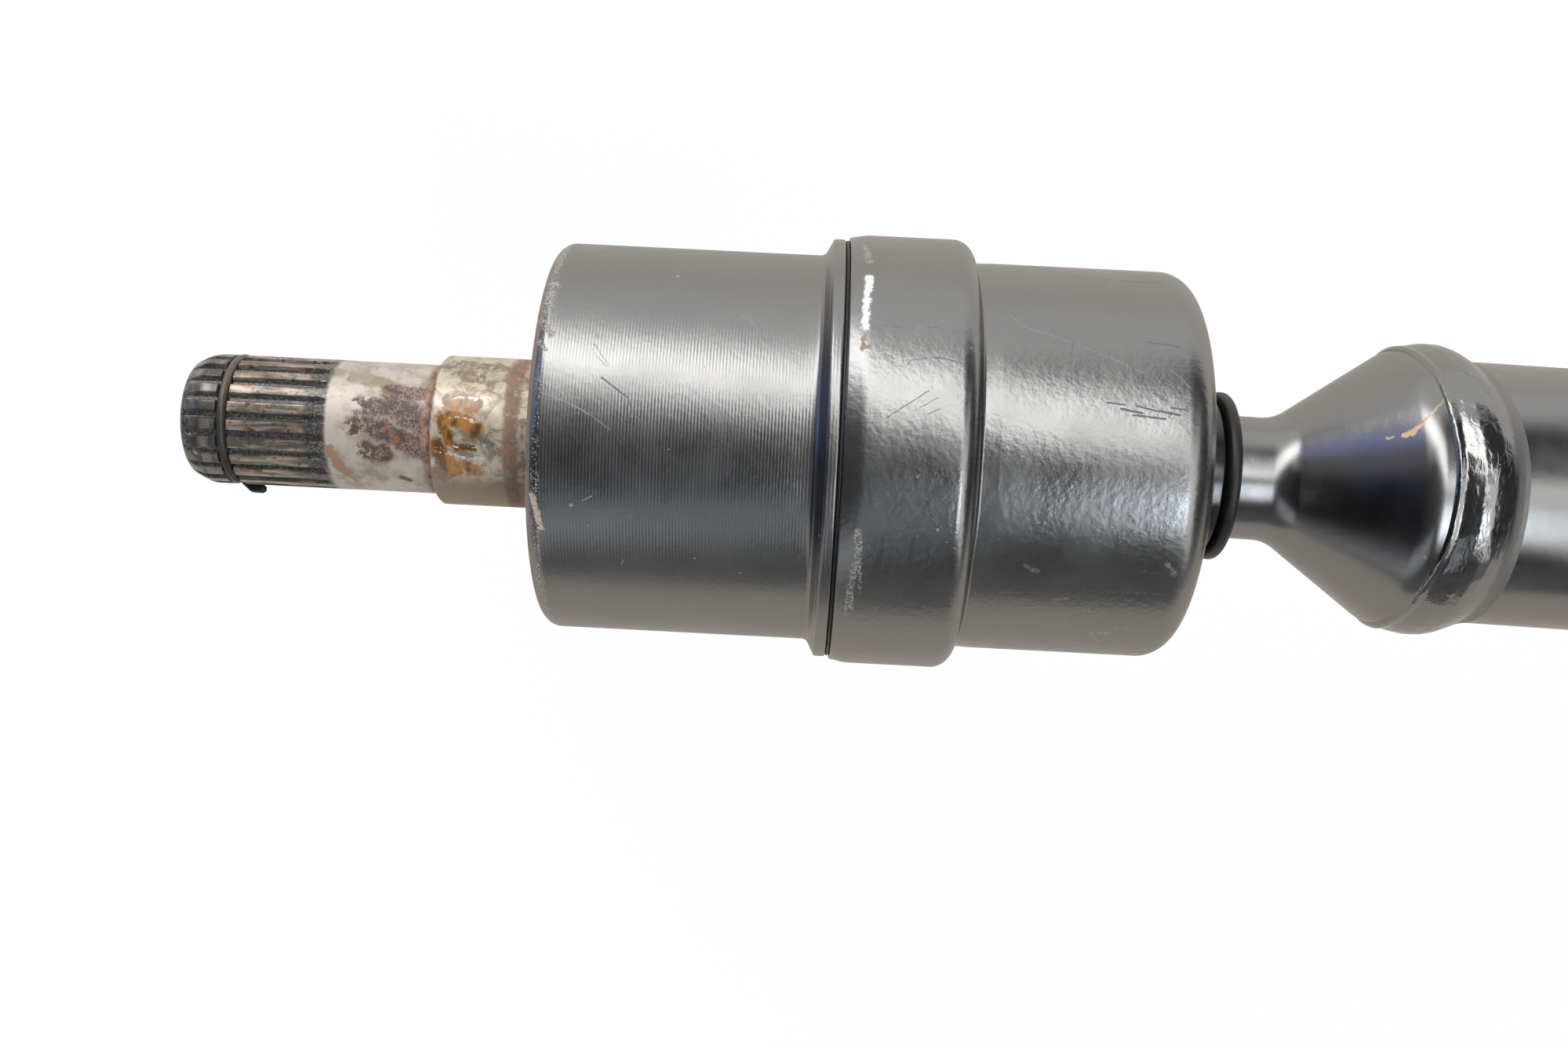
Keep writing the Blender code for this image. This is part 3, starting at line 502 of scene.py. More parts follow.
def makeCupPaint():
    material, tree, shader = newMaterial("cupPaint")
    paintShader(shader)
    f = cupFinish
    spot = unroll(tree, f["radius"])
    look = paintLook(tree, spot, cupSkin)
    # The lathe's lines fade and come back from place to place.
    reach = ramp(tree, noise(tree, spot["Spot"], 0.05, detail=2.0), 0.30, 0.62, 0.35, 1.0)
    lines = useGroup(tree, "turningLines", Along=spot["Along"], Pitch=f["pitch"],
                     Tip=sums(tree, "MULTIPLY", reach, f["tip"]))
    look["normal"] = lines["Normal"]
    look["rough"] = sums(tree, "MULTIPLY_ADD", lines["Wave"], 0.018, look["rough"])
    # The corner is rubbed: fine specks of bare metal and dirt, thick at the corner itself.
    distance = sums(tree, "ABSOLUTE", sums(tree, "SUBTRACT", spot["Along"], f["corner"]))
    corner = ramp(tree, distance, f["cornerReach"], 0.3)
    crumbs = noise(tree, spot["Spot"], 3.2, detail=4.0, roughness=0.7)
    swell = noise(tree, spot["Spot"], 0.11, detail=2.0)
    level = sums(tree, "MULTIPLY_ADD", corner, -0.22, 0.82)
    level = sums(tree, "MULTIPLY_ADD", swell, -0.16, level)
    # Little of it shows on the side that faces up.
    level = sums(tree, "MULTIPLY_ADD", between(tree, spot["Around"], -9.0, 20.0, 3.0), 0.05, level)
    worn = ramp(tree, sums(tree, "SUBTRACT", crumbs, level), 0.0, 0.05)
    worn = times(tree, worn, ramp(tree, corner, 0.0, 0.1))
    tint = blendColour(tree, noise(tree, spot["Spot"], 0.5), (0.50, 0.38, 0.27), (0.46, 0.46, 0.45))
    look = layer(tree, look, worn, colour=tint, rough=0.75)
    ragged = shaken(tree, spot, 1.6, 0.8)
    chip = strokes(tree, ragged, f["chips"])
    chip = times(tree, chip, useGroup(tree, "patches", Spot=spot["Spot"], Grain=0.5, Threshold=0.42,
                                      Softness=0.1)["Mask"])
    look = layer(tree, look, chip, colour=(0.42, 0.33, 0.26), rough=0.8, lift=-0.05)
    tan = times(tree, strokes(tree, ragged, f["tanChips"]), ramp(tree, crumbs, 0.38, 0.46))
    look = layer(tree, look, tan, colour=(0.58, 0.47, 0.36), rough=0.85, lift=-0.05)
    edge = times(tree, ramp(tree, spot["Along"], 71.75, 71.3), ramp(tree, spot["Out"], 34.0, 35.2))
    edge = times(tree, edge, ramp(tree, noise(tree, spot["Spot"], 0.35), 0.38, 0.55))
    look = layer(tree, look, edge, colour=(0.26, 0.12, 0.055), rough=0.7)
    fine = shaken(tree, spot, 0.25, 1.5)
    look = layer(tree, look, strokes(tree, fine, f["lightScratches"]), colour=paint["scratchGrey"],
                 rough=0.6, lift=-0.01)
    look = layer(tree, look, strokes(tree, fine, f["darkScratches"]), colour=(0.006, 0.006, 0.007),
                 rough=0.75, lift=-0.02)
    look = layer(tree, look, strokes(tree, shaken(tree, spot, 0.8, 0.7), f["dents"]), rough=0.26, lift=0.02)
    look = layer(tree, look, strokes(tree, ragged, f["rustSpots"]), colour=(0.33, 0.24, 0.13), rough=0.8)
    wire(tree, shader, look)
    return material


canFinish = {
    "radius": 41.7, "lowStart": -22.0, "splash": 0.35,
    "pale": [(129.2, 32.4, 129.3, 29.5, 0.95), (129.0, 29.5, 128.8, 24.0, 0.80),
             (128.8, 24.0, 128.7, 20.2, 0.82)],
    "rusty": [(128.5, 45.0, 129.3, 37.5, 0.7), (128.7, 18.6, 128.5, 16.2, 0.55),
              (128.5, 16.8, 129.6, 16.2, 0.40)],
    "scratches": [
        (133.0, 3.7, 139.9, 8.7, 0.10), (137.8, 5.2, 141.6, 7.6, 0.06), (139.8, 4.6, 141.9, 5.7, 0.08),
        (130.0, 20.7, 135.5, 20.6, 0.06), (139.0, 20.8, 142.0, 20.9, 0.07), (143.0, 20.3, 147.5, 20.0, 0.07),
        (136.2, 13.2, 137.0, 14.3, 0.08), (137.0, 14.3, 141.5, 14.9, 0.07), (141.5, 14.9, 145.4, 14.2, 0.09),
    ],
    "dusty": [
        (129.2, -16.5, 129.6, -20.0, 0.9), (129.4, -19.5, 129.0, -25.5, 0.65),
        (128.8, -24.0, 128.9, -33.0, 0.55),
        (129.9, -21.0, 130.3, -29.0, 0.30), (128.2, -27.0, 128.1, -35.5, 0.35),
    ],
    "grey": [(138.6, -6.0, 138.8, -6.0, 0.35), (137.0, -9.4, 137.1, -9.4, 0.2),
             (147.4, -38.0, 148.0, -38.6, 0.3)],
    "light": [(131.5, 16.4, 134.5, 16.0, 0.06)],
}

canEndFinish = {
    "radius": 37.4, "lowStart": -24.0, "splash": 0.8,
    "scratches": [
        (171.0, 8.6, 174.0, 8.4, 0.18), (173.4, 7.6, 177.0, 7.0, 0.24), (176.0, 8.3, 180.0, 7.4, 0.20),
        (175.4, 6.6, 181.0, 6.2, 0.18), (180.0, 7.6, 183.5, 7.0, 0.24), (182.0, 8.2, 184.6, 8.0, 0.18),
        (167.2, 40.4, 174.0, 40.3, 0.14), (176.0, 39.9, 183.4, 39.5, 0.16), (178.5, 21.0, 184.2, 20.3, 0.20),
        (164.9, 17.5, 165.6, 20.6, 0.10),
    ],
    "light": [
        (154.4, 26.0, 157.4, 23.0, 0.07), (157.4, 23.0, 165.5, 20.0, 0.07), (165.5, 20.0, 177.5, 14.5, 0.06),
        (182.1, 15.1, 183.9, 13.8, 0.08), (183.9, 13.8, 185.1, 12.0, 0.07),
    ],
    "grey": [
        (167.6, -8.8, 170.6, -8.4, 0.34), (184.3, -6.0, 186.9, -6.0, 0.20), (184.8, -7.8, 187.0, -7.6, 0.16),
        (173.0, -26.6, 184.0, -26.0, 0.14), (159.0, -21.5, 161.5, -22.6, 0.45),
        (165.5, -29.0, 167.5, -28.6, 0.5),
        (183.6, -19.5, 185.5, -22.0, 0.6), (178.0, -21.3, 184.4, -21.7, 0.12),
    ],
    "dusty": [
        (167.3, -34.2, 169.0, -32.4, 0.24), (169.0, -32.4, 172.4, -31.6, 0.20),
        (167.4, -34.6, 169.0, -36.6, 0.24),
        (169.0, -36.6, 172.0, -38.6, 0.20), (173.6, -39.2, 177.0, -38.6, 0.55),
        (173.4, -38.6, 175.4, -43.0, 0.55),
        (177.5, -36.5, 182.5, -37.0, 0.30), (176.5, -42.0, 183.0, -42.5, 0.24),
        (157.5, -34.8, 161.5, -35.6, 0.10),
    ],
}


def makeCanPaint(name, finish, rimBare):
    material, tree, shader = newMaterial(name)
    paintShader(shader)
    spot = unroll(tree, finish["radius"])
    look = paintLook(tree, spot, canSkin)
    # Dried splashes are thickest on the lower side.
    low = ramp(tree, spot["Around"], finish["lowStart"], finish["lowStart"] - 12.0, 0.0, finish["splash"])
    splash = useGroup(tree, "patches", Spot=spot["Spot"], Grain=2.6, Threshold=0.58, Softness=0.12)["Mask"]
    crumb = useGroup(tree, "patches", Spot=spot["Spot"], Grain=0.7, Threshold=0.50, Softness=0.14)["Mask"]
    look = layer(tree, look, times(tree, low, splash, crumb), colour=(0.20, 0.20, 0.20), rough=0.7)
    ragged, fine = shaken(tree, spot, 2.0, 0.9), shaken(tree, spot, 0.4, 1.2)
    torn = ramp(tree, noise(tree, spot["Spot"], 0.9, detail=5.0, roughness=0.7), 0.40, 0.46)
    if "rusty" in finish:
        rusty = times(tree, strokes(tree, ragged, finish["rusty"]), torn)
        look = layer(tree, look, rusty, colour=(0.30, 0.19, 0.125), rough=0.8, lift=-0.03)
        look = layer(tree, look, strokes(tree, ragged, finish["pale"]), colour=(0.78, 0.80, 0.78), rough=0.6,
                     lift=-0.06)
    grain = ramp(tree, noise(tree, spot["Spot"], 2.9, detail=4.0), 0.43, 0.60)
    dusty = times(tree, strokes(tree, ragged, finish["dusty"]), grain)
    look = layer(tree, look, dusty, colour=(0.36, 0.34, 0.30), rough=0.85)
    grey = times(tree, strokes(tree, ragged, finish["grey"]), ramp(tree, grain, 0, 1, 0.15, 1.0))
    look = layer(tree, look, grey, colour=(0.12, 0.12, 0.125), rough=0.6)
    dark = strokes(tree, fine, finish["scratches"])
    look = layer(tree, look, dark, colour=(0.005, 0.005, 0.006), rough=0.75, lift=-0.02)
    look = layer(tree, look, strokes(tree, fine, finish["light"]), colour=(0.14, 0.14, 0.145), rough=0.6)
    if rimBare:
        # The rim of the mouth has lost its paint in a thin line.
        rim = times(tree, between(tree, spot["Out"], 31.5, 33.0, 0.4),
                    between(tree, spot["Around"], 4.0, 36.0, 4.0))
        rim = times(tree, rim, ramp(tree, noise(tree, spot["Spot"], 0.6), 0.46, 0.56))
        look = layer(tree, look, rim, colour=(0.38, 0.27, 0.18), rough=0.7)
    wire(tree, shader, look)
    return material


shaftFinish = {
    "radius": 20.0,
    "yellowMark": [(227.4, 7.2, 228.8, 7.6, 0.62), (228.8, 7.6, 230.0, 8.4, 0.42),
                   (230.0, 8.4, 234.4, 12.2, 0.24)],
    "yellowSpots": [(225.0, 7.2, 226.0, 7.3, 0.3)],
    "rustDots": [(236.5, 15.5, 236.7, 15.6, 0.35), (232.0, -10.5, 232.3, -10.4, 0.40)],
    "tubeScratch": [(262.0, 1.2, 266.0, 1.3, 0.12)],
}


def makeShaftPaint():
    material, tree, shader = newMaterial("shaftPaint")
    paintShader(shader)
    f = shaftFinish
    spot = unroll(tree, f["radius"], joint["restBend"])
    look = paintLook(tree, spot, shaftSkin)
    ragged = shaken(tree, spot, 1.4, 1.2)
    yellow = strokes(tree, ragged, f["yellowMark"])
    tint = blendColour(tree, ramp(tree, spot["Along"], 230.0, 234.5), (0.75, 0.36, 0.09), (0.20, 0.19, 0.06))
    look = layer(tree, look, yellow, colour=tint, rough=0.5, lift=0.02)
    look = layer(tree, look, strokes(tree, ragged, f["yellowSpots"]), colour=(0.42, 0.34, 0.12), rough=0.5)
    look = layer(tree, look, strokes(tree, ragged, f["rustDots"]), colour=(0.25, 0.09, 0.05), rough=0.7)
    look = layer(tree, look, strokes(tree, spot["Place"], f["tubeScratch"]), colour=(0.4, 0.4, 0.4),
                 rough=0.5)
    wire(tree, shader, look)
    return material


def makeWeldPaint():
    # The paint is thick and shiny over the rough bead.
    material, tree, shader = newMaterial("weldPaint")
    paintShader(shader)
    spot = unroll(tree, 27.0, joint["restBend"])
    look = paintLook(tree, spot, weldSkin)
    # It breaks up the light on the crown, and is dull where the bead runs out on the tube.
    ripple = noise(tree, stretched(tree, spot["Spot"], 1.0, 0.55, 0.55), 0.8, detail=2.0, distortion=0.6)
    look["height"] = sums(tree, "MULTIPLY_ADD", ripple, 0.11, look["height"])
    foot = ramp(tree, spot["Out"], 26.7, 26.0)
    look = layer(tree, look, foot, colour=(0.030, 0.027, 0.024), rough=0.50)
    rustDots = useGroup(tree, "specks", Spot=spot["Spot"], Cell=9.0, Size=0.35, Share=0.25)["Mask"]
    look = layer(tree, look, rustDots, colour=(0.25, 0.10, 0.05), rough=0.7)
    wire(tree, shader, look)
    return material


def makePlain(name, colour, otherColour, rough, metal, grain, depth):
    # Two tones in clouds, with fine grain in the height.
    material, tree, shader = newMaterial(name)
    spot = unroll(tree, 25.0)
    cloud = noise(tree, spot["Spot"], 1 / grain, detail=5.0, roughness=0.6)
    fine = noise(tree, spot["Spot"], 1.5, detail=2.0)
    wire(tree, shader, {
        "colour": blendColour(tree, ramp(tree, cloud, 0.3, 0.7), colour, otherColour),
        "rough": ramp(tree, cloud, 0.3, 0.7, rough - 0.05, rough + 0.07), "metal": metal,
        "height": sums(tree, "MULTIPLY", fine, depth),
    })
    return material


# Bare steel of the stub, from its tip to the cup

stubFinish = {
    "radius": 12.7, "tipEnd": 7.4, "crestOut": 12.15, "runout": 24.4, "plain": 28.4, "shoulder": 48.6,
    "rustRing": 62.5, "rustRingEnd": 65.4,
    "rust": [
        (34.6, 3.4, 39.5, 3.0, 2.6), (34.2, -0.8, 40.0, -1.5, 3.0), (36.0, -5.6, 39.5, -6.0, 2.4),
        (40.0, 6.2, 47.6, 6.4, 2.4),
        (41.2, 3.4, 47.4, 0.4, 3.4), (41.4, -2.2, 47.0, -4.4, 3.0),
    ],
    "olive": [(33.0, 9.4, 39.0, 8.4, 2.2)],
    "diagonal": [(28.9, -5.4, 30.6, -9.0, 1.5), (30.6, -9.0, 33.6, -13.6, 1.1)],
    "ovalSpot": [(42.3, -11.5, 43.6, -12.2, 0.8)],
    "grease": [
        (52.4, 4.4, 56.8, 3.6, 1.8), (52.6, 1.6, 57.4, -0.2, 2.1), (50.6, 1.4, 52.4, -2.4, 1.5),
        (49.9, -3.6, 53.4, -7.4, 2.1),
        (53.6, -3.0, 57.0, -3.4, 1.0), (55.0, -6.0, 57.6, -7.4, 1.4),
    ],
    # Pale streaks painted on the wet grease as painted highlights.
    "paintedGlints": [
        (52.4, 1.3, 57.6, 1.1, 0.26), (50.2, -2.5, 51.2, -2.5, 0.24), (53.3, -3.0, 60.0, -3.1, 0.26),
        (50.0, -4.2, 53.0, -4.6, 0.34),
        (53.5, -4.8, 60.0, -5.0, 0.26), (52.4, 4.8, 58.0, 4.6, 0.34), (60.6, 1.0, 61.6, 0.6, 0.2),
    ],
    "dirt": [(52.0, 13.6, 60.0, 12.0, 1.6), (53.0, 10.0, 57.5, 9.0, 1.4), (58.5, -1.5, 61.5, -4.0, 1.2),
             (52.0, -13.5, 58.0, -15.0, 1.6)],
}


def makeStubSteel():
    material, tree, shader = newMaterial("stubSteel")
    shader.inputs["Coat Roughness"].default_value = 0.10
    f = stubFinish
    spot = unroll(tree, f["radius"])
    along, around, out = spot["Along"], spot["Around"], spot["Out"]
    smear = noise(tree, stretched(tree, spot["Spot"], 0.35, 0.16, 0.16), 1.0, detail=5.0, roughness=0.6)
    mottle = noise(tree, spot["Spot"], 0.55, detail=6.0, roughness=0.68)
    grit = noise(tree, spot["Spot"], 2.4, detail=4.0, roughness=0.7)
    ragged = shaken(tree, spot, 3.0, 3.2)
    wander = sums(tree, "MULTIPLY_ADD", mottle, 2.6, sums(tree, "SUBTRACT", along, 1.3))
    streak = noise(tree, stretched(tree, spot["Spot"], 0.14, 0.9, 0.9), 1.0, detail=5.0, roughness=0.62)
    cloud = noise(tree, spot["Spot"], 0.28, detail=8.0, roughness=0.66, distortion=0.5)
    look = {
        "colour": blendColour(tree, ramp(tree, cloud, 0.36, 0.62), (0.37, 0.32, 0.25), (0.59, 0.54, 0.48)),
        "rough": ramp(tree, mottle, 0.3, 0.7, 0.40, 0.54), "metal": 0.25, "wet": 0.0,
        "height": sums(tree, "MULTIPLY", grit, 0.012),
    }
    # Worn, ground crests, darker at the tip.
    onSplines = ramp(tree, along, f["plain"] + 0.6, f["plain"] - 0.6)
    grind = useGroup(tree, "turningLines", Along=along, Pitch=0.33,
                     Tip=sums(tree, "MULTIPLY", onSplines, 0.06))
    look["normal"] = grind["Normal"]
    crestTint = blendColour(tree, ramp(tree, streak, 0.40, 0.62), (0.13, 0.12, 0.1), (0.45, 0.38, 0.32))
    crestTint = blendColour(tree, ramp(tree, cloud, 0.55, 0.64), crestTint, (0.32, 0.2, 0.12))
    look = layer(tree, look, onSplines, colour=crestTint, rough=0.36, metal=0.45)
    oily = times(tree, onSplines, ramp(tree, mottle, 0.56, 0.64))
    look = layer(tree, look, oily, colour=(0.078, 0.07, 0.062), rough=0.3)
    tip = ramp(tree, wander, f["tipEnd"] + 1.4, f["tipEnd"] - 0.6)
    tipTint = blendColour(tree, ramp(tree, smear, 0.42, 0.60), (0.078, 0.074, 0.07), (0.24, 0.21, 0.18))
    look = layer(tree, look, tip, colour=tipTint, rough=0.36, metal=0.45, wet=0.3)
    inSlot = times(tree, onSplines, ramp(tree, out, f["crestOut"] + 0.25, f["crestOut"] - 0.25))
    slotTint = blendColour(tree, ramp(tree, grit, 0.44, 0.62), (0.034, 0.033, 0.032), (0.18, 0.17, 0.15))
    look = layer(tree, look, inSlot, colour=slotTint, rough=0.32, metal=0.1, wet=0.5)
    runout = between(tree, wander, f["runout"], f["plain"] - 0.2, 0.6)
    runTint = blendColour(tree, ramp(tree, grit, 0.46, 0.68), (0.062, 0.059, 0.054), (0.29, 0.26, 0.21))
    look = layer(tree, look, runout, colour=runTint, rough=0.34, metal=0.3, wet=0.4, lift=0.05)
    # The plain length behind the splines.
    onPlain = times(tree, ramp(tree, along, f["plain"] - 0.3, f["plain"] + 0.3),
                    ramp(tree, along, f["shoulder"] + 0.2, f["shoulder"] - 0.1))
    # Paler steel on the plain length's upper side by the splines: a painted highlight.
    bright = times(tree, onPlain, ramp(tree, along, 36.5, 31.5), between(tree, around, -5.5, 8.5, 1.5))
    look = layer(tree, look, times(tree, bright, ramp(tree, cloud, 0.30, 0.50, 0.3, 1.0)),
                 colour=(0.62, 0.55, 0.48))
    olive = times(tree, onPlain, strokes(tree, ragged, f["olive"]), ramp(tree, cloud, 0.36, 0.56, 0.0, 0.8))
    look = layer(tree, look, olive, colour=(0.25, 0.22, 0.13), rough=0.45)
    # Rust in three tones, open at its left side, where the steel shows through.
    stain = times(tree, onPlain, strokes(tree, ragged, f["rust"]))
    opening = ramp(tree, along, 34.0, 42.0, 0.50, 0.30)
    stain = times(tree, stain, ramp(tree, sums(tree, "SUBTRACT", mottle, opening), -0.05, 0.02))
    brown = blendColour(tree, ramp(tree, mottle, 0.46, 0.56), (0.32, 0.21, 0.16), (0.13, 0.09, 0.081))
    brown = blendColour(tree, ramp(tree, grit, 0.48, 0.58), brown, (0.062, 0.051, 0.054))
    brown = blendColour(tree, ramp(tree, cloud, 0.56, 0.62), brown, (0.29, 0.13, 0.078))
    look = layer(tree, look, stain, colour=brown, rough=0.5, metal=0.1, lift=0.05)
    diagonal = times(tree, onPlain, strokes(tree, ragged, f["diagonal"]), ramp(tree, mottle, 0.36, 0.48))
    look = layer(tree, look, diagonal, colour=(0.41, 0.26, 0.16), rough=0.5)
    oval = strokes(tree, shaken(tree, spot, 0.6, 1.0), f["ovalSpot"])
    look = layer(tree, look, oval, colour=(0.16, 0.13, 0.12), rough=0.45)
    line = between(tree, wander, f["shoulder"] - 1.7, f["shoulder"] + 0.5, 0.7)
    lineTint = blendColour(tree, ramp(tree, mottle, 0.42, 0.58), (0.16, 0.094, 0.07), (0.41, 0.26, 0.18))
    look = layer(tree, look, line, colour=lineTint, rough=0.55, metal=0.1)
    # The seat in front of the cup, with drying grease.
    onSeat = ramp(tree, along, f["shoulder"] + 0.1, f["shoulder"] + 0.5)
    seatTint = blendColour(tree, ramp(tree, cloud, 0.38, 0.58), (0.26, 0.2, 0.13), (0.62, 0.54, 0.42))
    look = layer(tree, look, onSeat, colour=seatTint, rough=0.42)
    dirt = times(tree, onSeat, strokes(tree, ragged, f["dirt"]), ramp(tree, mottle, 0.44, 0.54))
    look = layer(tree, look, dirt, colour=(0.24, 0.2, 0.16), rough=0.5)
    low = times(tree, onSeat, ramp(tree, around, -7.0, -12.0))
    look = layer(tree, look, low, colour=(0.32, 0.24, 0.17), rough=0.45)
    grease = times(tree, onSeat, strokes(tree, ragged, f["grease"]), ramp(tree, mottle, 0.22, 0.36))
    greaseTint = blendColour(tree, ramp(tree, smear, 0.42, 0.60), (0.13, 0.059, 0.018), (0.45, 0.2, 0.046))
    look = layer(tree, look, grease, colour=greaseTint, rough=0.3, metal=0.0, wet=0.5)
    wetness = times(tree, onSeat, between(tree, around, -8.0, 6.0, 1.5), ramp(tree, along, 62.0, 60.0))
    look = layer(tree, look, wetness, rough=0.28, wet=0.6)
    # Painted highlights: pale streaks where the wet grease on the seat glints.
    broken = ramp(tree, noise(tree, stretched(tree, spot["Spot"], 0.5, 1.2, 1.2), 1.6, detail=3.0), 0.44,
                  0.54)
    paintedGlints = times(tree, strokes(tree, ragged, f["paintedGlints"]), broken)
    look = layer(tree, look, paintedGlints, colour=(0.8, 0.8, 0.8), rough=0.2)
    ring = between(tree, wander, f["rustRing"], f["rustRingEnd"], 0.6)
    ring = times(tree, ring, ramp(tree, mottle, 0.32, 0.54, 0.35, 0.95))
    ringTint = blendColour(tree, ramp(tree, mottle, 0.42, 0.60), (0.2, 0.12, 0.078), (0.38, 0.21, 0.13))
    look = layer(tree, look, ring, colour=ringTint, rough=0.6, metal=0.1, lift=0.03)
    dots = useGroup(tree, "specks", Spot=spot["Spot"], Cell=1.6, Size=0.14, Share=0.25)["Mask"]
    look = layer(tree, look, times(tree, dots, onSplines), colour=(0.65, 0.63, 0.61), rough=0.4)
    wire(tree, shader, look)
    return material


def makeRingSteel():
    # Light and brown at the top, and painted darker to black towards the lower side: painted shade.
    material, tree, shader = newMaterial("ringSteel")
    spot = unroll(tree, 12.7)
    mottle = noise(tree, spot["Spot"], 0.8, detail=5.0, roughness=0.65)
    level = sums(tree, "MULTIPLY_ADD", mottle, 8.0, spot["Around"])
    look = {"colour": (0.13, 0.1, 0.079), "rough": ramp(tree, mottle, 0.3, 0.7, 0.28, 0.5), "metal": 0.2,
            "height": sums(tree, "MULTIPLY", noise(tree, spot["Spot"], 2.0), 0.02)}
    # Painted shade: darker, then near black, towards the lower side.
    look = layer(tree, look, ramp(tree, level, 12.0, 2.0), colour=(0.05, 0.046, 0.042), metal=0.1)
    look = layer(tree, look, ramp(tree, level, -2.0, -9.0), colour=(0.024, 0.022, 0.021), metal=0.2)
    wire(tree, shader, look)
    return material


materials = {
    "cup": makeCupPaint(), "can": makeCanPaint("canPaint", canFinish, False),
    "canEnd": makeCanPaint("canEndPaint", canEndFinish, True),
    "shaft": makeShaftPaint(), "weld": makeWeldPaint(),
    "stub": makeStubSteel(), "ring": makeRingSteel(),
    "clamp": makePlain("clampBand", (0.021, 0.021, 0.024), (0.032, 0.032, 0.034), 0.14, 0.0, 6.0, 0.004),
    "rubber": makePlain("rubber", (0.0053, 0.0053, 0.0059), (0.012, 0.011, 0.011), 0.46, 0.0, 3.0, 0.03),
    "spring": makePlain("springSteel", (0.13, 0.13, 0.12), (0.24, 0.22, 0.21), 0.36, 1.0, 2.0, 0.01),
    "ground": makePlain("groundSteel", (0.55, 0.55, 0.55), (0.74, 0.74, 0.75), 0.24, 1.0, 5.0, 0.004),
}
print("materials made")


# Stub

stub = {
    "chamfer": 3.3, "chamferDepth": 1.7, "radius": 12.7, "teeth": 22, "depth": 1.2,
    "slotTop": 0.5, "slotFloor": 0.28, "straight": 24.2, "runout": 6.5, "edge": 0.12,
    "ringPlace": 8.4, "ringWire": 1.7, "ringGap": 0.3,
    "shank": 12.65, "seatStart": 48.6, "seat": 14.6, "columns": 440,
}


def splined(along, radius, around):
    # In each slot the radius is the slot's floor plus a straight flank, where that is less
    # than the bar's own. The floor is level, then rises along the hob's arc.
    phase = around * stub["teeth"] / (2 * math.pi)
    fromSlot = np.abs(phase - np.round(phase))
    into = np.clip(along - stub["straight"], 0, stub["runout"] * 0.95)
    rise = stub["runout"] - np.sqrt(stub["runout"] ** 2 - into ** 2)
    halfFloor, halfTop = stub["slotFloor"] / 2, stub["slotTop"] / 2
    flank = np.maximum(0, fromSlot - halfFloor) * stub["depth"] / (halfTop - halfFloor)
    cut = stub["radius"] - stub["depth"] + rise + flank
    edge = stub["edge"]
    mix = np.clip(0.5 + 0.5 * (radius - cut) / edge, 0, 1)
    soft = radius * (1 - mix) + cut * mix - edge * mix * (1 - mix)
    floor = stub["radius"] - stub["depth"]
    inSplines = (along < stub["straight"] + stub["runout"]) & (along > -0.1) & (radius > floor)
    return along, np.where(inSplines, soft, radius)


def makeStub():
    ringHalf = stub["ringWire"] / 2 + stub["ringGap"]
    ringFloor = stub["radius"] - stub["depth"] - 0.3
    ringStart, ringEnd = stub["ringPlace"] - ringHalf, stub["ringPlace"] + ringHalf
    radius, seat, seatStart, face = stub["radius"], stub["seat"], stub["seatStart"], cup["start"]
    corners = [
        (0, 0, 0), (0, radius - stub["chamferDepth"], 1.2), (stub["chamfer"], radius, 5.0),
        (ringStart, radius, 0.15), (ringStart, ringFloor, 0.2),
        (ringEnd, ringFloor, 0.2), (ringEnd, radius, 0.15),
        (30.0, radius, 0), (31.2, stub["shank"], 0),
        (seatStart, stub["shank"], 1.2), (seatStart, seat - 0.5, 0.2), (seatStart + 0.6, seat, 0.2),
        (face, seat, 1.4), (face, 17.0, 0), (face + 1.0, 17.0, 0), (face + 1.0, 0, 0),
    ]
    turned("splinedStub", finer(outline(corners, 12), 0.7), stub["columns"], splined,
           material=materials["stub"],
           body="cup", slot="cup_paint", replaced=["outer_race"])


stubRing = {"start": -80.0, "turnEnd": 262.0, "legTurn": 5.0, "legLength": 4.0, "legRise": 1.5, "sink": 0.68}


def makeStubRing():
    # Most of a circle from -Y round to -Y again, then a short leg that rises out of the
    # groove and lies along the splines.
    share = np.linspace(0, 1, 14)[1:]
    turn = np.radians(np.concatenate([
        np.linspace(stubRing["start"], stubRing["turnEnd"], 170),
        stubRing["turnEnd"] + stubRing["legTurn"] * share,
    ]))
    leg = np.concatenate([np.zeros(170), share])
    radius = stub["radius"] - stubRing["sink"] + stubRing["legRise"] * np.clip(leg * 2, 0, 1)
    along = stub["ringPlace"] + stubRing["legLength"] * leg
    path = np.stack([along, radius * np.sin(turn), radius * np.cos(turn)], 1)
    wireAlong("stubRing", path, stub["ringWire"] / 2, 16, material=materials["ring"],
              body="cup", slot="spring_steel", replaced=["stub_retaining_ring"])


# Cup

cup = {
    "start": 70.8, "radius": 37.4, "corner": 3.0, "flangeRamp": 121.4, "flangeStart": 123.1,
    "flangeRadius": 40.6,
    "flangeEnd": 125.2, "spigot": 39.8, "mouth": 146.9, "mouthEdge": 0.9, "bore": 29.2, "floor": 79.5,
    "stopPlace": 140.9, "stopWire": 2.2, "stopLip": 1.1, "trackStart": 95.8, "trackRadius": 7.8, "balls": 6,
    "columns": 360,
}


